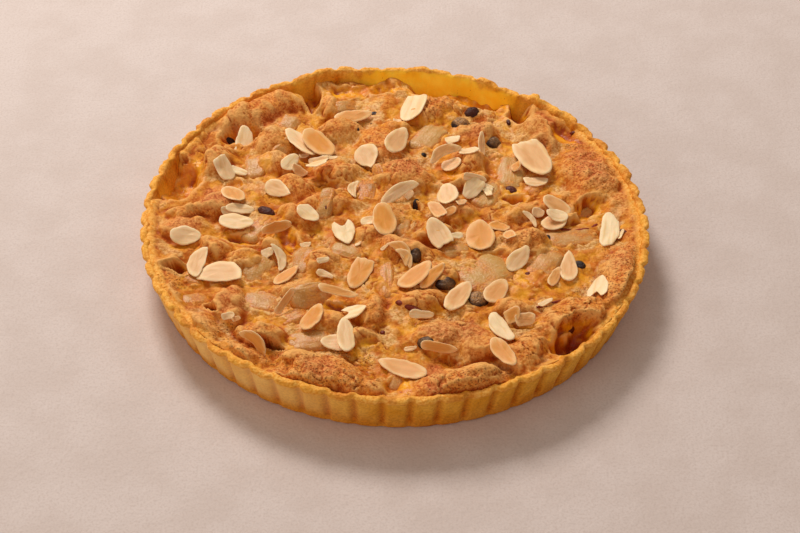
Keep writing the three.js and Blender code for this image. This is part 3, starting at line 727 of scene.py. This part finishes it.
def addPears(surface):
    ball, faces = ballPoints(4)
    lumps, looks = [], {"green": [], "caramel": [], "glazed": [], "fibre": []}
    for index, row in enumerate(pearRows):
        lift = pearForm["lift"] * smooth(4, 11, row[3])
        lump, local = fruitLump(row, pearForm["depth"], lift, pearForm["boxiness"], ball,
                                pearForm["roughness"], index + 1, pearForm["growth"])
        furrows, dents = 0.15 * np.sin(local[:, 1] * 2.1 + noise(local, 6, index)), 0.5 * noise(local, 4, 7)
        lump[:, 2] += (furrows + dents) * (ball[:, 2] > 0)
        lumps.append((lump, faces))
        glazed = smooth(1.3, 0.1, heightOver(surface, lump) + 0.7 * fractal(local, 3.5, 2, 40 + index))
        covered = smooth(-0.1, 0.35, fractal(local, 5, 3, 70 + index)) * smooth(14, 9, row[3])
        looks["green"].append(np.full(len(ball), row[5]))
        looks["caramel"].append(np.full(len(ball), row[6]))
        looks["glazed"].append(np.maximum(glazed, 0.8 * covered))
        looks["fibre"].append(local * [0.15, 1, 0.4] + 40 * index)
    return joinLumps("pearPieces", lumps, pearMaterial(), looks)


# Small burnt spots: x, y, length, width, turn in degrees, how much like red caramel
spotRows = [
    [9.5, 10, 5, 7, 0, 0], [13, 50, 3.5, 3, 0, 0], [-21, 70, 3, 4, 30, 0], [-14, 74, 3, 3, 0, 0],
    [-3.5, -81, 3.5, 3, 0, 0.6], [91, 72, 4, 1.6, 0, 0.5], [-13, 83, 5, 6, 90, 0], [-86, 55, 8, 7, 0, 0],
    [58, 80, 5, 3.5, 90, 0.2], [64, -37.5, 4, 2.5, 0, 0.5], [7, -63, 15, 3, -25, 0.7],
    [-34.5, 5, 2, 5, 0, 0.5], [112, -4.5, 5, 2, -40, 0.5], [84.5, -5, 9, 3, -12, 0.9],
    [91, -4.4, 9, 3, 20, 1], [97.5, -1.4, 8, 2.6, 32, 0.9], [76, -57, 7, 1.5, 25, 0.8],
    [70, -60, 6, 1.4, 5, 0.8],
]
spotForm = {"depth": 3, "lift": 0.4, "roughness": 0.3}


def sightTo(x, y):  # the viewer's eye in metres, and the direction of a place from it
    eye = Vector(view["place"]) * mm
    return eye, (Vector((x, y, tart["rimHeight"])) * mm - eye).normalized()


def addBerries(surface):
    ball, spot = ballPoints(4), ballPoints(3)
    lumps, looks = [], {"filmed": [], "sticky": []}
    for index, row in enumerate(berryRows + spotRows):
        isBerry = index < len(berryRows)
        (points, faces), form = (ball, berryForm) if isBerry else (spot, spotForm)
        depth = row[3] if isBerry else min(row[3], form["depth"])
        lift = form["lift"] * (smooth(3, 9, row[3]) if isBerry else 1)
        seat = None if isBerry else np.array(surface.ray_cast(*sightTo(row[0], row[1]))[0]) / mm
        lump, local = fruitLump(row, depth, lift, berryForm["boxiness"], points, form["roughness"],
                                index + 60, 1, seat)
        lumps.append((lump, faces))
        dried = smooth(0.5, 0.85, points[:, 2] + 0.25 * noise(local, 3, 90 + index))
        looks["filmed"].append(dried * (row[5] if isBerry else 0))
        looks["sticky"].append(np.full(len(points), row[-1]))
    return joinLumps("darkBerries", lumps, berryMaterial(), looks)


# Geometry Nodes helpers
def geometryTree(name, sizes):
    tree = bpy.data.node_groups.new(name, "GeometryNodeTree")
    tree.interface.new_socket("Geometry", in_out="INPUT", socket_type="NodeSocketGeometry")
    for label, value in sizes.items():
        kind = "NodeSocketInt" if isinstance(value, int) else "NodeSocketFloat"
        tree.interface.new_socket(label, in_out="INPUT", socket_type=kind)
    tree.interface.new_socket("Geometry", in_out="OUTPUT", socket_type="NodeSocketGeometry")
    return tree, tree.nodes.new("NodeGroupInput").outputs


def moved(tree, geometry, socket, value):
    return put(tree, "GeometryNodeSetPosition", {"Geometry": geometry, socket: value}).outputs[0]


def crumpled(tree, geometry, scale, depth, detail=2.0):  # pushes points about by as much as half the depth
    place = put(tree, "GeometryNodeInputPosition").outputs[0]
    rough = put(tree, "ShaderNodeTexNoise", {"Vector": place, "Scale": scale, "Detail": detail}).outputs[1]
    offset = vectorMaths(tree, "SUBTRACT", rough, (0.5, 0.5, 0.5))
    return moved(tree, geometry, "Offset", vectorMaths(tree, "SCALE", offset, depth * mm))


def kept(tree, name, kind="FLOAT"):  # an attribute of the carrier
    return put(tree, "GeometryNodeInputNamedAttribute", {"Name": name}, data_type=kind).outputs[0]


def laidOut(tree, sockets):  # copies on points, made real
    laid = put(tree, "GeometryNodeInstanceOnPoints", sockets).outputs[0]
    return put(tree, "GeometryNodeRealizeInstances", {"Geometry": laid}).outputs[0]


def finishTree(tree, geometry, material):
    surfaced = put(tree, "GeometryNodeSetMaterial", {"Geometry": geometry, "Material": material})
    put(tree, "NodeGroupOutput", {"Geometry": surfaced.outputs[0]})


def growPiece(name, tree, sizes, carrier):  # the tree's result on the carrier, as a plain mesh
    modifier = carrier.modifiers.new(name, "NODES")
    modifier.node_group = tree
    for item in tree.interface.items_tree:
        if item.in_out == "INPUT" and item.name in sizes:
            modifier[item.identifier] = sizes[item.name]
    evaluated = carrier.evaluated_get(bpy.context.evaluated_depsgraph_get())
    mesh = bpy.data.meshes.new_from_object(evaluated)
    carrier.modifiers.remove(modifier)
    shape = bmesh.new()
    shape.from_mesh(mesh)
    bmesh.ops.remove_doubles(shape, verts=shape.verts, dist=1e-6)
    bmesh.ops.recalc_face_normals(shape, faces=shape.faces)
    shape.to_mesh(mesh)
    shape.free()
    mesh.name = name
    mesh.polygons.foreach_set("use_smooth", [True] * len(mesh.polygons))
    piece = bpy.data.objects.new(name, mesh)
    bpy.context.scene.collection.objects.link(piece)
    return piece


def curveValue(tree, value, points, handle="AUTO_CLAMPED"):  # read off a curve through the points
    node = put(tree, "ShaderNodeFloatCurve", {"Value": value})
    curve = node.mapping.curves[0]
    while len(curve.points) < len(points):
        curve.points.new(0.5, 0.5)
    for spot, place in zip(curve.points, points):
        spot.location = place
        spot.handle_type = handle
    node.mapping.update()
    return node.outputs[0]


# The pastry case, swept round from one profile
pastry = {
    "Steps Around": 960, "Steps Along": 84, "Flutes": 60, "Rim Radius": tart["rimRadius"],
    "Rim Height": tart["rimHeight"], "Flute Depth": 1.9, "First Groove": -91.4, "Groove Width": 0.75,
    "Crumble": 0.7,
}
# Along the profile: share of the way, radius, height, how much it follows the flutes
caseProfile = [
    [0.00, 0, 0, 0], [0.12, 112, 0, 0], [0.17, 117.4, 0, 0.2], [0.20, 118.6, 0.8, 0.35],
    [0.23, 119, 2.2, 0.5], [0.31, 120.4, 7.5, 1], [0.50, 123.9, 20.4, 1], [0.52, 124.5, 21.4, 1],
    [0.54, 125, 22.3, 1], [0.565, 124.9, 23.3, 1], [0.60, 124, 24, 0.95], [0.635, 122.6, 24.1, 0.8],
    [0.665, 121.5, 23.6, 0.55], [0.70, 120.6, 22.2, 0.35], [0.84, 116.6, 9, 0.1], [0.88, 114.6, 4.4, 0],
    [0.90, 113, 3.5, 0], [1.00, 0, 3.5, 0],
]
# Waves of the rim's height: how many round the tart, shift, rise
rimWaves = [[3, 0.6, 0.6], [7, 2.1, 0.4], [17, 1.2, 0.3]]
# Chips and peaks of the rim: angle in degrees, how wide in degrees, rise
rimPeaks = [
    [53.5, 1.6, 3.2], [108, 9, 2], [139, 5, 0.8], [84, 3, 1.6], [78, 6, 1.2], [100, 2, -0.8], [62, 3, -1.2],
    [46, 4, 1.0], [70, 3, 1.4], [35, 3, -0.8], [150, 3, -0.7], [172, 3, 0.9], [196, 3, -0.9], [212, 4, 0.8],
    [258, 2, -0.9], [283, 3, 0.6], [305, 2, 0.8], [20, 3, 0.8], [6, 3, -0.7], [338, 3, 0.8],
    [125, 3, 0.8], [112, 4, 0.7], [228, 3, -0.7], [240, 2, 0.8], [320, 3, -0.5],
]
highestPeak = 4
# Lumps of the crumbly surface: size across and depth
caseLumps = [[5.5, 3.0], [1.9, 1.6], [0.8, 0.7]]
# Degrees round the tart: where the inside of the wall is bare and gets a painted glow, as though lit through
# from behind, and where the outside gets painted light that makes it paler
bareBack, paintedLightFront = [54, 66, 94, 106], [180, 205, 236, 272]


def rimCurve():  # the peaks as points of one curve, 0.5 where the rim is level
    places = np.linspace(0, 360, 181)
    rises = sum(rise * np.exp(-((((places - angle + 180) % 360) - 180) / wide) ** 2)
                for angle, wide, rise in rimPeaks)
    return [(place / 360, 0.5 + rise / (2 * highestPeak)) for place, rise in zip(places, rises)]


def caseTree(sizes):
    tree, entry = geometryTree("pastryCase", sizes)
    plus = lambda first, second: maths(tree, "ADD", first, second)
    minus = lambda first, second: maths(tree, "SUBTRACT", first, second)
    times = lambda *values: product(tree, *values)
    grid = put(tree, "GeometryNodeMeshGrid", {"Size X": 1.0, "Vertices X": entry["Steps Around"],
                                              "Size Y": 1.0, "Vertices Y": entry["Steps Along"]}).outputs[0]
    place = put(tree, "ShaderNodeSeparateXYZ", {0: put(tree, "GeometryNodeInputPosition").outputs[0]}).outputs
    start = maths(tree, "DIVIDE", entry["First Groove"], 360.0)
    around, along = maths(tree, "FRACT", plus(plus(place[0], 0.5), start)), plus(place[1], 0.5)
    angle = times(around, 2 * math.pi)
    outermost, highest = (max(row[index] for row in caseProfile) for index in (1, 2))
    column = lambda index, size: [(row[0], row[index] / size) for row in caseProfile]
    reachOut, climb, fluted = (curveValue(tree, along, column(index, size), "VECTOR")
                               for index, size in ((1, outermost), (2, highest), (3, 1)))
    # one groove at each zero of the sine
    turned = times(minus(angle, times(start, 2 * math.pi)), times(entry["Flutes"], 0.5))
    crest = mapped(tree, maths(tree, "ABSOLUTE", maths(tree, "SINE", turned)), 0.0, entry["Groove Width"])
    groove = times(minus(1.0, crest), entry["Flute Depth"], fluted)
    radius = minus(times(reachOut, entry["Rim Radius"]), groove)
    top = entry["Rim Height"]
    for count, shift, rise in rimWaves:
        top = plus(top, times(maths(tree, "SINE", plus(times(angle, float(count)), shift)), rise))
    peaks = times(minus(curveValue(tree, around, rimCurve()), 0.5), 2.0 * highestPeak)
    height = plus(times(climb, top), times(peaks, mapped(tree, climb, 0.7, 1.0)))
    spot = put(tree, "ShaderNodeCombineXYZ", {0: times(radius, maths(tree, "COSINE", angle)),
                                              1: times(radius, maths(tree, "SINE", angle)), 2: height})
    # the seam and both poles are closed
    formed = moved(tree, grid, "Position", spot.outputs[0])
    surface = put(tree, "GeometryNodeMergeByDistance", {"Geometry": formed, "Distance": 0.02}).outputs[0]
    position, normal = (put(tree, "GeometryNodeInput" + kind).outputs[0] for kind in ("Position", "Normal"))
    level = put(tree, "ShaderNodeSeparateXYZ", {0: position}).outputs[2]
    # looser towards the rim, and flat underneath
    loose = times(mapped(tree, level, 19.0, 24.0, 0.2, 1.0), mapped(tree, level, 0.3, 2.0))
    for size, depth in caseLumps:
        rough = put(tree, "ShaderNodeTexNoise", {"Vector": position, "Scale": 1 / size, "Detail": 2.0})
        rough = times(minus(rough.outputs[0], 0.5), depth, entry["Crumble"], loose)
        surface = moved(tree, surface, "Offset", vectorMaths(tree, "SCALE", normal, rough))
    sized = put(tree, "GeometryNodeTransform", {"Geometry": surface, "Scale": (mm, mm, mm)}).outputs[0]
    finishTree(tree, sized, pastryMaterial())
    return tree


def addPastryCase():
    carrier = newMesh("caseCarrier", [(0, 0, 0)], [], bpy.data.materials.new("plain"))
    piece = growPiece("pastryCase", caseTree(pastry), pastry, carrier)
    bpy.data.objects.remove(carrier)
    points = pointsOf(piece)
    radius, height = np.hypot(points[:, 0], points[:, 1]), points[:, 2]
    angle = np.degrees(np.arctan2(points[:, 1], points[:, 0])) % 360
    groove = 1 - np.abs(np.sin(np.radians(angle - pastry["First Groove"]) * pastry["Flutes"] / 2))
    lipped = smooth(21, 22.4, height) * smooth(119, 121.5, radius)
    middle = innerRadius(height) + 1.8  # the middle of the wall's thickness
    inside = smooth(middle + 0.3, middle - 0.6, radius) * smooth(5, 9, height) * smooth(24.5, 23, height)
    back = between(*bareBack, angle)
    addAttribute(piece, "lipped", lipped * (0.6 + 0.4 * noise(points, 5, 5)))
    # painted light: the outside of the wall paler at the front and left, above its foot and below the rim
    pale = between(*paintedLightFront, angle) * smooth(2, 10, height) * (1 - lipped)
    addAttribute(piece, "pale", pale * (0.75 + 0.25 * noise(points, 14, 12)))
    browned = 0.25 * inside + 0.45 * lipped * smooth(0.1, 0.6, fractal(points, 9, 2, 6))
    # painted shade in the grooves of the flutes
    browned += 0.6 * smooth(0.4, 1, groove) * smooth(1, 6, height) * (1 - lipped)
    # darker in patches along the very bottom
    browned += 0.5 * smooth(3, 0, height) * smooth(0.1, 0.6, fractal(points, 30, 3, 8))
    # painted shade low on the outside of the wall, darker towards the base
    browned += 0.45 * smooth(16, 1, height) * smooth(117, 118, radius)
    addAttribute(piece, "browned", np.clip(browned, 0, 1))
    baked = smooth(0.1, 0.6, fractal(points * [1, 1, 0.4], 9, 3, 21) + 0.5 * smooth(17, 24, height))
    # painted glow on the bare inside of the wall at the back, less where the pastry is more baked
    backlitGlow = np.clip(back + 0.35 * smooth(0, 0.5, noise(points, 25, 7)), 0, 1) * (1 - 0.75 * baked)
    addAttribute(piece, "backlitGlow", inside * backlitGlow)
    return piece


# Flaked almonds. Each shape is an outline over one turn, its length along X
flakeShapes = {
    "egg": lambda t: (np.cos(t), np.sin(t) * (1 - 0.16 * np.cos(t))),
    "oval": lambda t: (np.sign(np.cos(t)) * np.abs(np.cos(t)) ** 0.9, np.sin(t)),
    "tear": lambda t: (np.cos(t), np.sin(t) * np.abs(np.sin(t / 2)) ** 0.9 * 1.12),
    "half": lambda t: (np.cos(t), np.where(np.sin(t) < 0, 0.22 * np.sin(t), 1.6 * np.sin(t)) - 0.62),
    "broken": lambda t: (np.minimum(np.cos(t), 0.64 + 0.025 * np.sin(9 * t)),
                         np.sin(t) * (1 + 0.1 * np.cos(t))),
    "bean": lambda t: (np.cos(t), np.sin(t) + 0.42 * np.cos(t) ** 2 - 0.2),
    "crescent": lambda t: (np.cos(t), 0.75 * np.sin(t) - 0.9 * np.cos(t) ** 2 + 0.4),
    "sliver": lambda t: (np.sign(np.cos(t)) * np.abs(np.cos(t)) ** 0.6,
                         np.sign(np.sin(t)) * np.abs(np.sin(t)) ** 0.8 * (1 - 0.25 * np.cos(t))),
    "heart": lambda t: (np.maximum(np.cos(t), -0.95 + 0.55 * np.exp(-(((t - math.pi) / 0.4) ** 2))),
                        np.sin(t) * (1 - 0.32 * np.cos(t))),
    "wedge": lambda t: (np.sign(np.cos(t)) * np.abs(np.cos(t)) ** 0.7 * (1 + 0.08 * np.sin(3 * t)),
                        np.sign(np.sin(t)) * np.abs(np.sin(t)) ** 0.7 * (0.85 + 0.2 * np.sin(2 * t))),
}
flakeForm = {
    "thickness": 0.7, "cup": 0.8, "outlinePoints": 36, "sink": 0.05, "seed": 5, "steepest": 0.6,
    # rings from the top's middle to the underside's: share of the way out, level by share of the thickness
    "top": 0.34, "bottom": -0.5,
    "rings": [[0.4, 0.36], [0.75, 0.44], [0.92, 0.42], [1.0, 0.2], [1.0, -0.2], [0.92, -0.45], [0.5, -0.5]],
    # noises that make each one uneven: size across and depth
    "curls": [[5.0, 1.5], [1.8, 0.5]],
    # where it is held against what lies below, as shares of its length and width
    "feelAlong": [-0.45, -0.3, -0.15, 0, 0.15, 0.3, 0.45], "feelAcross": [-0.4, -0.2, 0, 0.2, 0.4],
}

# Flakes, lowest first: shape, x, y, length, width, turn in degrees, how toasted, and lean in degrees if any
flakeRows = [
    ["egg", -24, 80, 21, 8.5, 20, 0.75], ["broken", 6.7, 88, 21, 14, 75, 0.15],
    ["sliver", -0.7, 77, 5, 3.5, 0, 0.3], ["egg", -0.7, 61, 24, 11, 70, 0.5],
    ["oval", -50, 57, 24, 10, -50, 0.2], ["oval", -41, 57, 22, 13, -50, 1],
    ["bean", -79, 55, 19, 9, 80, 0.1], ["wedge", 28, 63, 8, 6, 0, 0.1],
    ["sliver", 43, 59.5, 15, 4, 90, 0.5, 20], ["sliver", 36.5, 54.5, 11, 5, 0, 0.2],
    ["crescent", 23.7, 51, 19, 7, 35, 0.6, 50], ["egg", 27.5, 43, 11, 8, 20, 0.5],
    ["tear", -15.5, 46.5, 16, 13, -70, 0.35], ["half", 70, 31, 13, 7, 180, 0.3],
    ["broken", 70, 50, 28, 17, 112, 0.5], ["wedge", 60.5, 43, 6, 6, 0, 0.8],
    ["egg", -54.5, 40.5, 12, 8, 55, 0.05], ["broken", -41, 40, 12, 10, 0, 0.15],
    ["sliver", -40, 43, 12, 4, -10, 0.2], ["half", -49.5, 33.5, 9, 5.5, 170, 0.6],
    ["wedge", -48, 46, 5, 3, 0, 0.3], ["sliver", -33, 45, 6, 2.5, 25, 0.1],
    ["sliver", -80, 32, 10, 4.5, -15, 0], ["wedge", -87.5, 34, 14, 10, -70, 0.25],
    ["egg", -81, 14, 16, 12, -70, 0.7], ["egg", -78, -6.5, 17.5, 10, -5, 0.15],
    ["oval", -77, 3, 15, 6.5, 20, 0.2], ["oval", -82, 0.5, 9, 4.5, -5, 0.1],
    ["egg", -101.5, -18, 15, 10, 0, 0.3], ["half", -94.5, -37, 18, 9, 80, 0.4],
    ["half", -82, -42.5, 22, 13, -5, 0.4], ["tear", -59, 19, 17, 9, -40, 0.4],
    ["egg", -43, 1.5, 12.5, 10, -35, 0.1], ["oval", -58, -10.5, 16, 5.5, 25, 0.9, 30],
    ["crescent", -54.5, -31.5, 15, 6, -68, 0.2], ["sliver", -61, -28.5, 6, 4.5, 15, 0.1],
    ["sliver", -43, -22, 6, 3, 25, 0.2], ["sliver", -34, -32.5, 6.5, 3, 25, 0],
    ["egg", -51, -44, 16, 7, 48, 1.2], ["sliver", -50, -62.5, 15, 4, 53, 0.7, 45],
    ["egg", -37, -72, 16, 10, 65, 1.2], ["crescent", -62, -89.5, 17, 7, -38, 1.1, 40],
    ["wedge", -76, -73, 6, 4, 0, 0.3], ["wedge", -72.5, -75, 5, 3, 40, 0.6],
    ["crescent", -22, 21, 12, 5, 85, 0.3], ["wedge", 6.5, 17.5, 6, 4, 35, 0.2],
    ["half", 0.5, 19.5, 23, 7, 35, 0.25, 15], ["egg", 25.5, 19.5, 15.5, 11, 95, 0.35],
    ["sliver", 32.5, 13.5, 6, 4, 30, 0.5], ["broken", 38, 24, 14, 9, 55, 0.1],
    ["broken", 44, 26, 10, 5, -20, 0.1], ["sliver", 39, 32, 12.5, 4, 8, 0.2, 40],
    ["wedge", 46, 22, 6, 4, 90, 0], ["wedge", 27, 6.5, 6, 5, 0, 0.8], ["broken", 20, 7.5, 13, 7, -60, 0.7],
    ["sliver", -13, -3, 8, 5, 0, 0], ["egg", -5.5, -1, 21.5, 12, 95, 1],
    ["heart", -24.5, -12, 16, 11, -75, 0], ["sliver", -17.5, -20, 3.5, 2, 30, 0.1],
    ["sliver", -4.5, -21.7, 5, 2, 30, 0.3], ["crescent", 6, -28, 12, 5, -50, 0.6],
    ["crescent", 4, -24, 15, 7, -50, 0.8], ["egg", 41.5, -11, 20.5, 14.5, 95, 0.9],
    ["wedge", 29.5, -12, 8, 4, 20, 0], ["broken", 21, -9.5, 17, 11, -60, 0.35],
    ["egg", 51, -4, 11, 6, -15, 1], ["wedge", 56, -10, 8, 7, 90, 0.7], ["egg", 60, -27, 16, 9, 52, 0.35],
    ["oval", 78, 0.5, 13, 10, 20, 0.5], ["oval", 80, 6, 11, 8, -10, 0.2],
    ["oval", 80, 13.5, 15.5, 10.5, -25, 0.6], ["egg", 70.5, 7.5, 6.5, 5, 0, 0.4],
    ["crescent", 67, 3, 11, 3.5, -45, 0.1], ["sliver", 110.5, -7, 6, 2.2, 65, 0],
    ["bean", 105.5, -4, 24.5, 9.5, 82, 0], ["egg", 77, -39, 14, 5, 70, 0.7],
    ["tear", 84, -31, 22, 8.5, 88, 0.5], ["heart", 97.5, -45, 15, 11, 75, 0],
    ["sliver", 72, -57, 8.5, 3, 38, 0.1], ["egg", 18.5, -41, 17, 6, 45, 1.1],
    ["egg", 10.5, -41, 21, 11, 47, 1], ["egg", 31, -54.5, 22, 10, 62, 0.55],
    ["egg", 49, -50, 18, 10, 62, 0.65], ["broken", -16.5, -41.5, 21, 10.5, 72, 1],
    ["sliver", -26, -54.5, 19, 5, -3, 0.75, 20], ["sliver", -32.5, -42.5, 8.5, 3.5, -15, 0.2],
    ["heart", -17.5, -67, 12, 10, 10, 0], ["broken", -26, -88, 13, 10, 0, 0.3],
    ["egg", -21, -83, 22, 8.5, 95, 0.3], ["sliver", 13.7, -68, 12, 4, 8, 0, 20],
    ["wedge", 62, -69, 10, 7, 5, 0.6], ["wedge", 56, -66.5, 8, 8, 0, 0.9],
    ["bean", 50, -75, 20, 8.5, -62, 0.05], ["egg", 51.5, -91, 20, 8.5, -62, 0.85],
    ["sliver", 22, -89.5, 17, 5, -8, 0.9, 20], ["sliver", 9, -90.5, 6, 2.4, 0, 0.4],
    ["egg", 5.5, -103, 24, 10.5, 155, 0.65],
]


def flakeTemplates():  # one of each shape, of length, width and thickness 1
    count, cup, rings = flakeForm["outlinePoints"], flakeForm["cup"], flakeForm["rings"]
    turn = np.arange(count) * 2 * math.pi / count
    group = bpy.data.collections.new("flakeShapes")
    for index, (name, outline) in enumerate(flakeShapes.items()):
        x, y = (np.asarray(side, float) for side in outline(turn))
        x, y = ((side - (side.max() + side.min()) / 2) / np.ptp(side) for side in (x, y))
        points, faces, edges = [[0, 0, flakeForm["top"] - 0.4 * cup]], [], [0]
        for share, level in rings:  # both ends curl up
            cupped = level + cup * ((x * share * 2) ** 2 - 0.4)
            points += np.stack([x * share, y * share, cupped], 1).tolist()
            edges += [share] * count
        points.append([0, 0, flakeForm["bottom"] - 0.4 * cup])
        edges.append(0)
        last, lowest = len(points) - 1, 1 + (len(rings) - 1) * count
        for step in range(count):
            after = (step + 1) % count
            faces.append([0, 1 + step, 1 + after])
            for ring in range(1, lowest, count):
                below = ring + count
                faces.append([ring + step, below + step, below + after, ring + after])
            faces.append([last, lowest + after, lowest + step])
        shape = newMesh(f"{index:02d}{name}", np.array(points) / mm, faces, bpy.data.materials.new("plain"))
        addAttribute(shape, "edge", edges)
        addAttribute(shape, "leaf", np.array(points) * [0.5, 2.2, 0])
        bpy.context.scene.collection.objects.unlink(shape)
        group.objects.link(shape)
    return group


def levelUnder(surface, lying, above, hit):  # how high what lies under a point is, flakes included
    level = surface.ray_cast(above, Vector((0, 0, -1)))[0]
    level = (level or hit).z
    for place, along, across, normal, length, width in lying:
        gap = above - place
        if (gap.dot(along) / length) ** 2 + (gap.dot(across) / width) ** 2 < 0.25:
            cover = place.z - (normal.x * gap.x + normal.y * gap.y) / normal.z
            level = max(level, cover + flakeForm["thickness"] * mm)
    return level


def flakePlaces(surface):  # each flake lies on what is under it, where the viewer sees it
    lying, rows = [], []
    for shape, x, y, length, width, turn, toast, *lean in flakeRows:
        eye, sight = sightTo(x, y)
        hit = surface.ray_cast(eye, sight)[0]
        along = Vector((math.cos(math.radians(turn)), math.sin(math.radians(turn)), 0))
        across = Vector((-along.y, along.x, 0))
        samples, levels = [], []
        for shareAlong in flakeForm["feelAlong"]:
            for shareAcross in flakeForm["feelAcross"]:
                stepAlong, stepAcross = shareAlong * length * mm, shareAcross * width * mm
                offset = along * stepAlong + across * stepAcross
                above = Vector((hit.x + offset.x, hit.y + offset.y, wellAbove))
                samples.append([1, stepAlong, stepAcross])
                levels.append(levelUnder(surface, lying, above, hit))
        # the plane that fits best, raised until nothing pokes through
        samples, levels = np.array(samples), np.array(levels)
        slopes = np.linalg.lstsq(samples, levels, rcond=None)[0][1:]
        slopes = np.clip(slopes, -flakeForm["steepest"], flakeForm["steepest"])
        rest = (levels - samples[:, 1:] @ slopes).max() - flakeForm["sink"] * mm
        slope = along * slopes[0] + across * slopes[1]
        normal = Vector((-slope.x, -slope.y, 1)).normalized()
        foot = Vector((hit.x, hit.y, rest + flakeForm["thickness"] / 2 * mm))
        place = eye + sight * ((foot - eye).dot(normal) / sight.dot(normal))
        long = (along + Vector((0, 0, slopes[0]))).normalized()
        side = normal.cross(long).normalized()
        leaned = math.radians(sum(lean))
        rotation = Matrix((long, side, long.cross(side))).transposed() @ Matrix.Rotation(leaned, 3, "X")
        place += normal * (width / 2 * mm * math.sin(leaned) * 0.6)
        lying.append((place, long, side, normal, length * mm, width * mm))
        rows.append([*place, *rotation.to_euler(), length * mm, width * mm,
                     list(flakeShapes).index(shape), toast])
    return np.array(rows)


def flakeTree(sizes, group):
    tree, entry = geometryTree("almondFlakes", sizes)
    shapes = put(tree, "GeometryNodeCollectionInfo", {"Collection": group, "Separate Children": True,
                                                      "Reset Children": True}).outputs[0]
    turn = put(tree, "FunctionNodeEulerToRotation", {0: kept(tree, "turn", "FLOAT_VECTOR")}).outputs[0]
    size = put(tree, "ShaderNodeCombineXYZ", {0: kept(tree, "length"), 1: kept(tree, "width"),
                                              2: entry["Thickness"]}).outputs[0]
    index = put(tree, "FunctionNodeFloatToInt", {0: kept(tree, "shape")}).outputs[0]
    flakes = laidOut(tree, {"Points": entry["Geometry"], "Instance": shapes, "Pick Instance": True,
                            "Instance Index": index, "Rotation": turn, "Scale": size})
    for size, depth in flakeForm["curls"]:
        flakes = crumpled(tree, flakes, 1000 / size, depth, 1.0)
    finishTree(tree, flakes, almondMaterial())
    return tree


def addFlakes(surface):
    rows = flakePlaces(surface)
    carrier = newMesh("flakeCarrier", rows[:, :3] / mm, [], bpy.data.materials.new("plain"))
    lots = np.random.default_rng(flakeForm["seed"]).uniform(0, 40, (len(rows), 3))
    for name, values in (("turn", rows[:, 3:6]), ("length", rows[:, 6]), ("width", rows[:, 7]),
                         ("shape", rows[:, 8]), ("toast", rows[:, 9]), ("lot", lots)):
        addAttribute(carrier, name, values)
    sizes = {"Thickness": flakeForm["thickness"] * mm}
    group = flakeTemplates()
    piece = growPiece("almondFlakes", flakeTree(sizes, group), sizes, carrier)
    bpy.data.objects.remove(carrier)
    for shape in list(group.objects):
        bpy.data.objects.remove(shape)
    bpy.data.collections.remove(group)
    return piece


# Loose crumbs on the browned mounds: how many a square metre, and their radius in metres
crumbs = {"Density": 8000.0, "Smallest": 0.0002, "Largest": 0.0005, "Seed": 4}


def crumbTree(sizes):
    tree, entry = geometryTree("crumbs", sizes)
    scattered = put(tree, "GeometryNodeDistributePointsOnFaces",
                    {"Mesh": entry["Geometry"], "Seed": entry["Seed"],
                     "Density": product(tree, kept(tree, "porous"), entry["Density"])}).outputs[0]
    bit = put(tree, "GeometryNodeMeshIcoSphere", {"Radius": 1.0, "Subdivisions": 1}).outputs[0]
    # the random node holds a pair of ends for each kind of value: 0 and 1 for vectors, 2 and 3 for numbers
    size = put(tree, "FunctionNodeRandomValue", {2: entry["Smallest"], 3: entry["Largest"],
                                                 "Seed": entry["Seed"]}, data_type="FLOAT")
    turn = put(tree, "FunctionNodeRandomValue", {1: (6.28, 6.28, 6.28)}, data_type="FLOAT_VECTOR")
    turned = put(tree, "FunctionNodeEulerToRotation", {0: turn.outputs[0]}).outputs[0]
    bits = laidOut(tree, {"Points": scattered, "Instance": bit, "Rotation": turned, "Scale": size.outputs[1]})
    bits = crumpled(tree, bits, 1500.0, 0.5)
    finishTree(tree, bits, bpy.data.materials["bakedBatter"])
    return tree


def surfaceOf(pieces):  # what a ray from above or from the viewer can hit
    points, faces, start = [], [], 0
    for piece in pieces:
        points += [vert.co.copy() for vert in piece.data.vertices]
        faces += [[index + start for index in polygon.vertices] for polygon in piece.data.polygons]
        start = len(points)
    return BVHTree.FromPolygons(points, faces)


print("camera, lights and floor")
addCamera()
addLights()
addFloor()
print("pastry case")
pastryCase = addPastryCase()
print("filling")
bakedFilling = addFilling()
print("pears and berries")
pearPieces = addPears(surfaceOf([bakedFilling]))
darkBerries = addBerries(surfaceOf([bakedFilling, pearPieces]))
print("almond flakes")
almondFlakes = addFlakes(surfaceOf([bakedFilling, pearPieces, darkBerries]))
print("crumbs")
batterCrumbs = growPiece("batterCrumbs", crumbTree(crumbs), crumbs, bakedFilling)

numbered = lambda stem: sorted(name for name in frame["nodes"] if name.startswith(stem))
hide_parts("crust")
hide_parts("filling")
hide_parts(*numbered("pear_"))
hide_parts(*numbered("berry_"))
slots = {"pastry": [pastryCase], "batter": [bakedFilling, batterCrumbs], "pear": [pearPieces],
         "berry": [darkBerries], "almond": [almondFlakes]}
for slot, pieces in slots.items():
    for piece in pieces:
        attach(piece, "root")
        print(piece.name, len(piece.data.polygons), "faces")
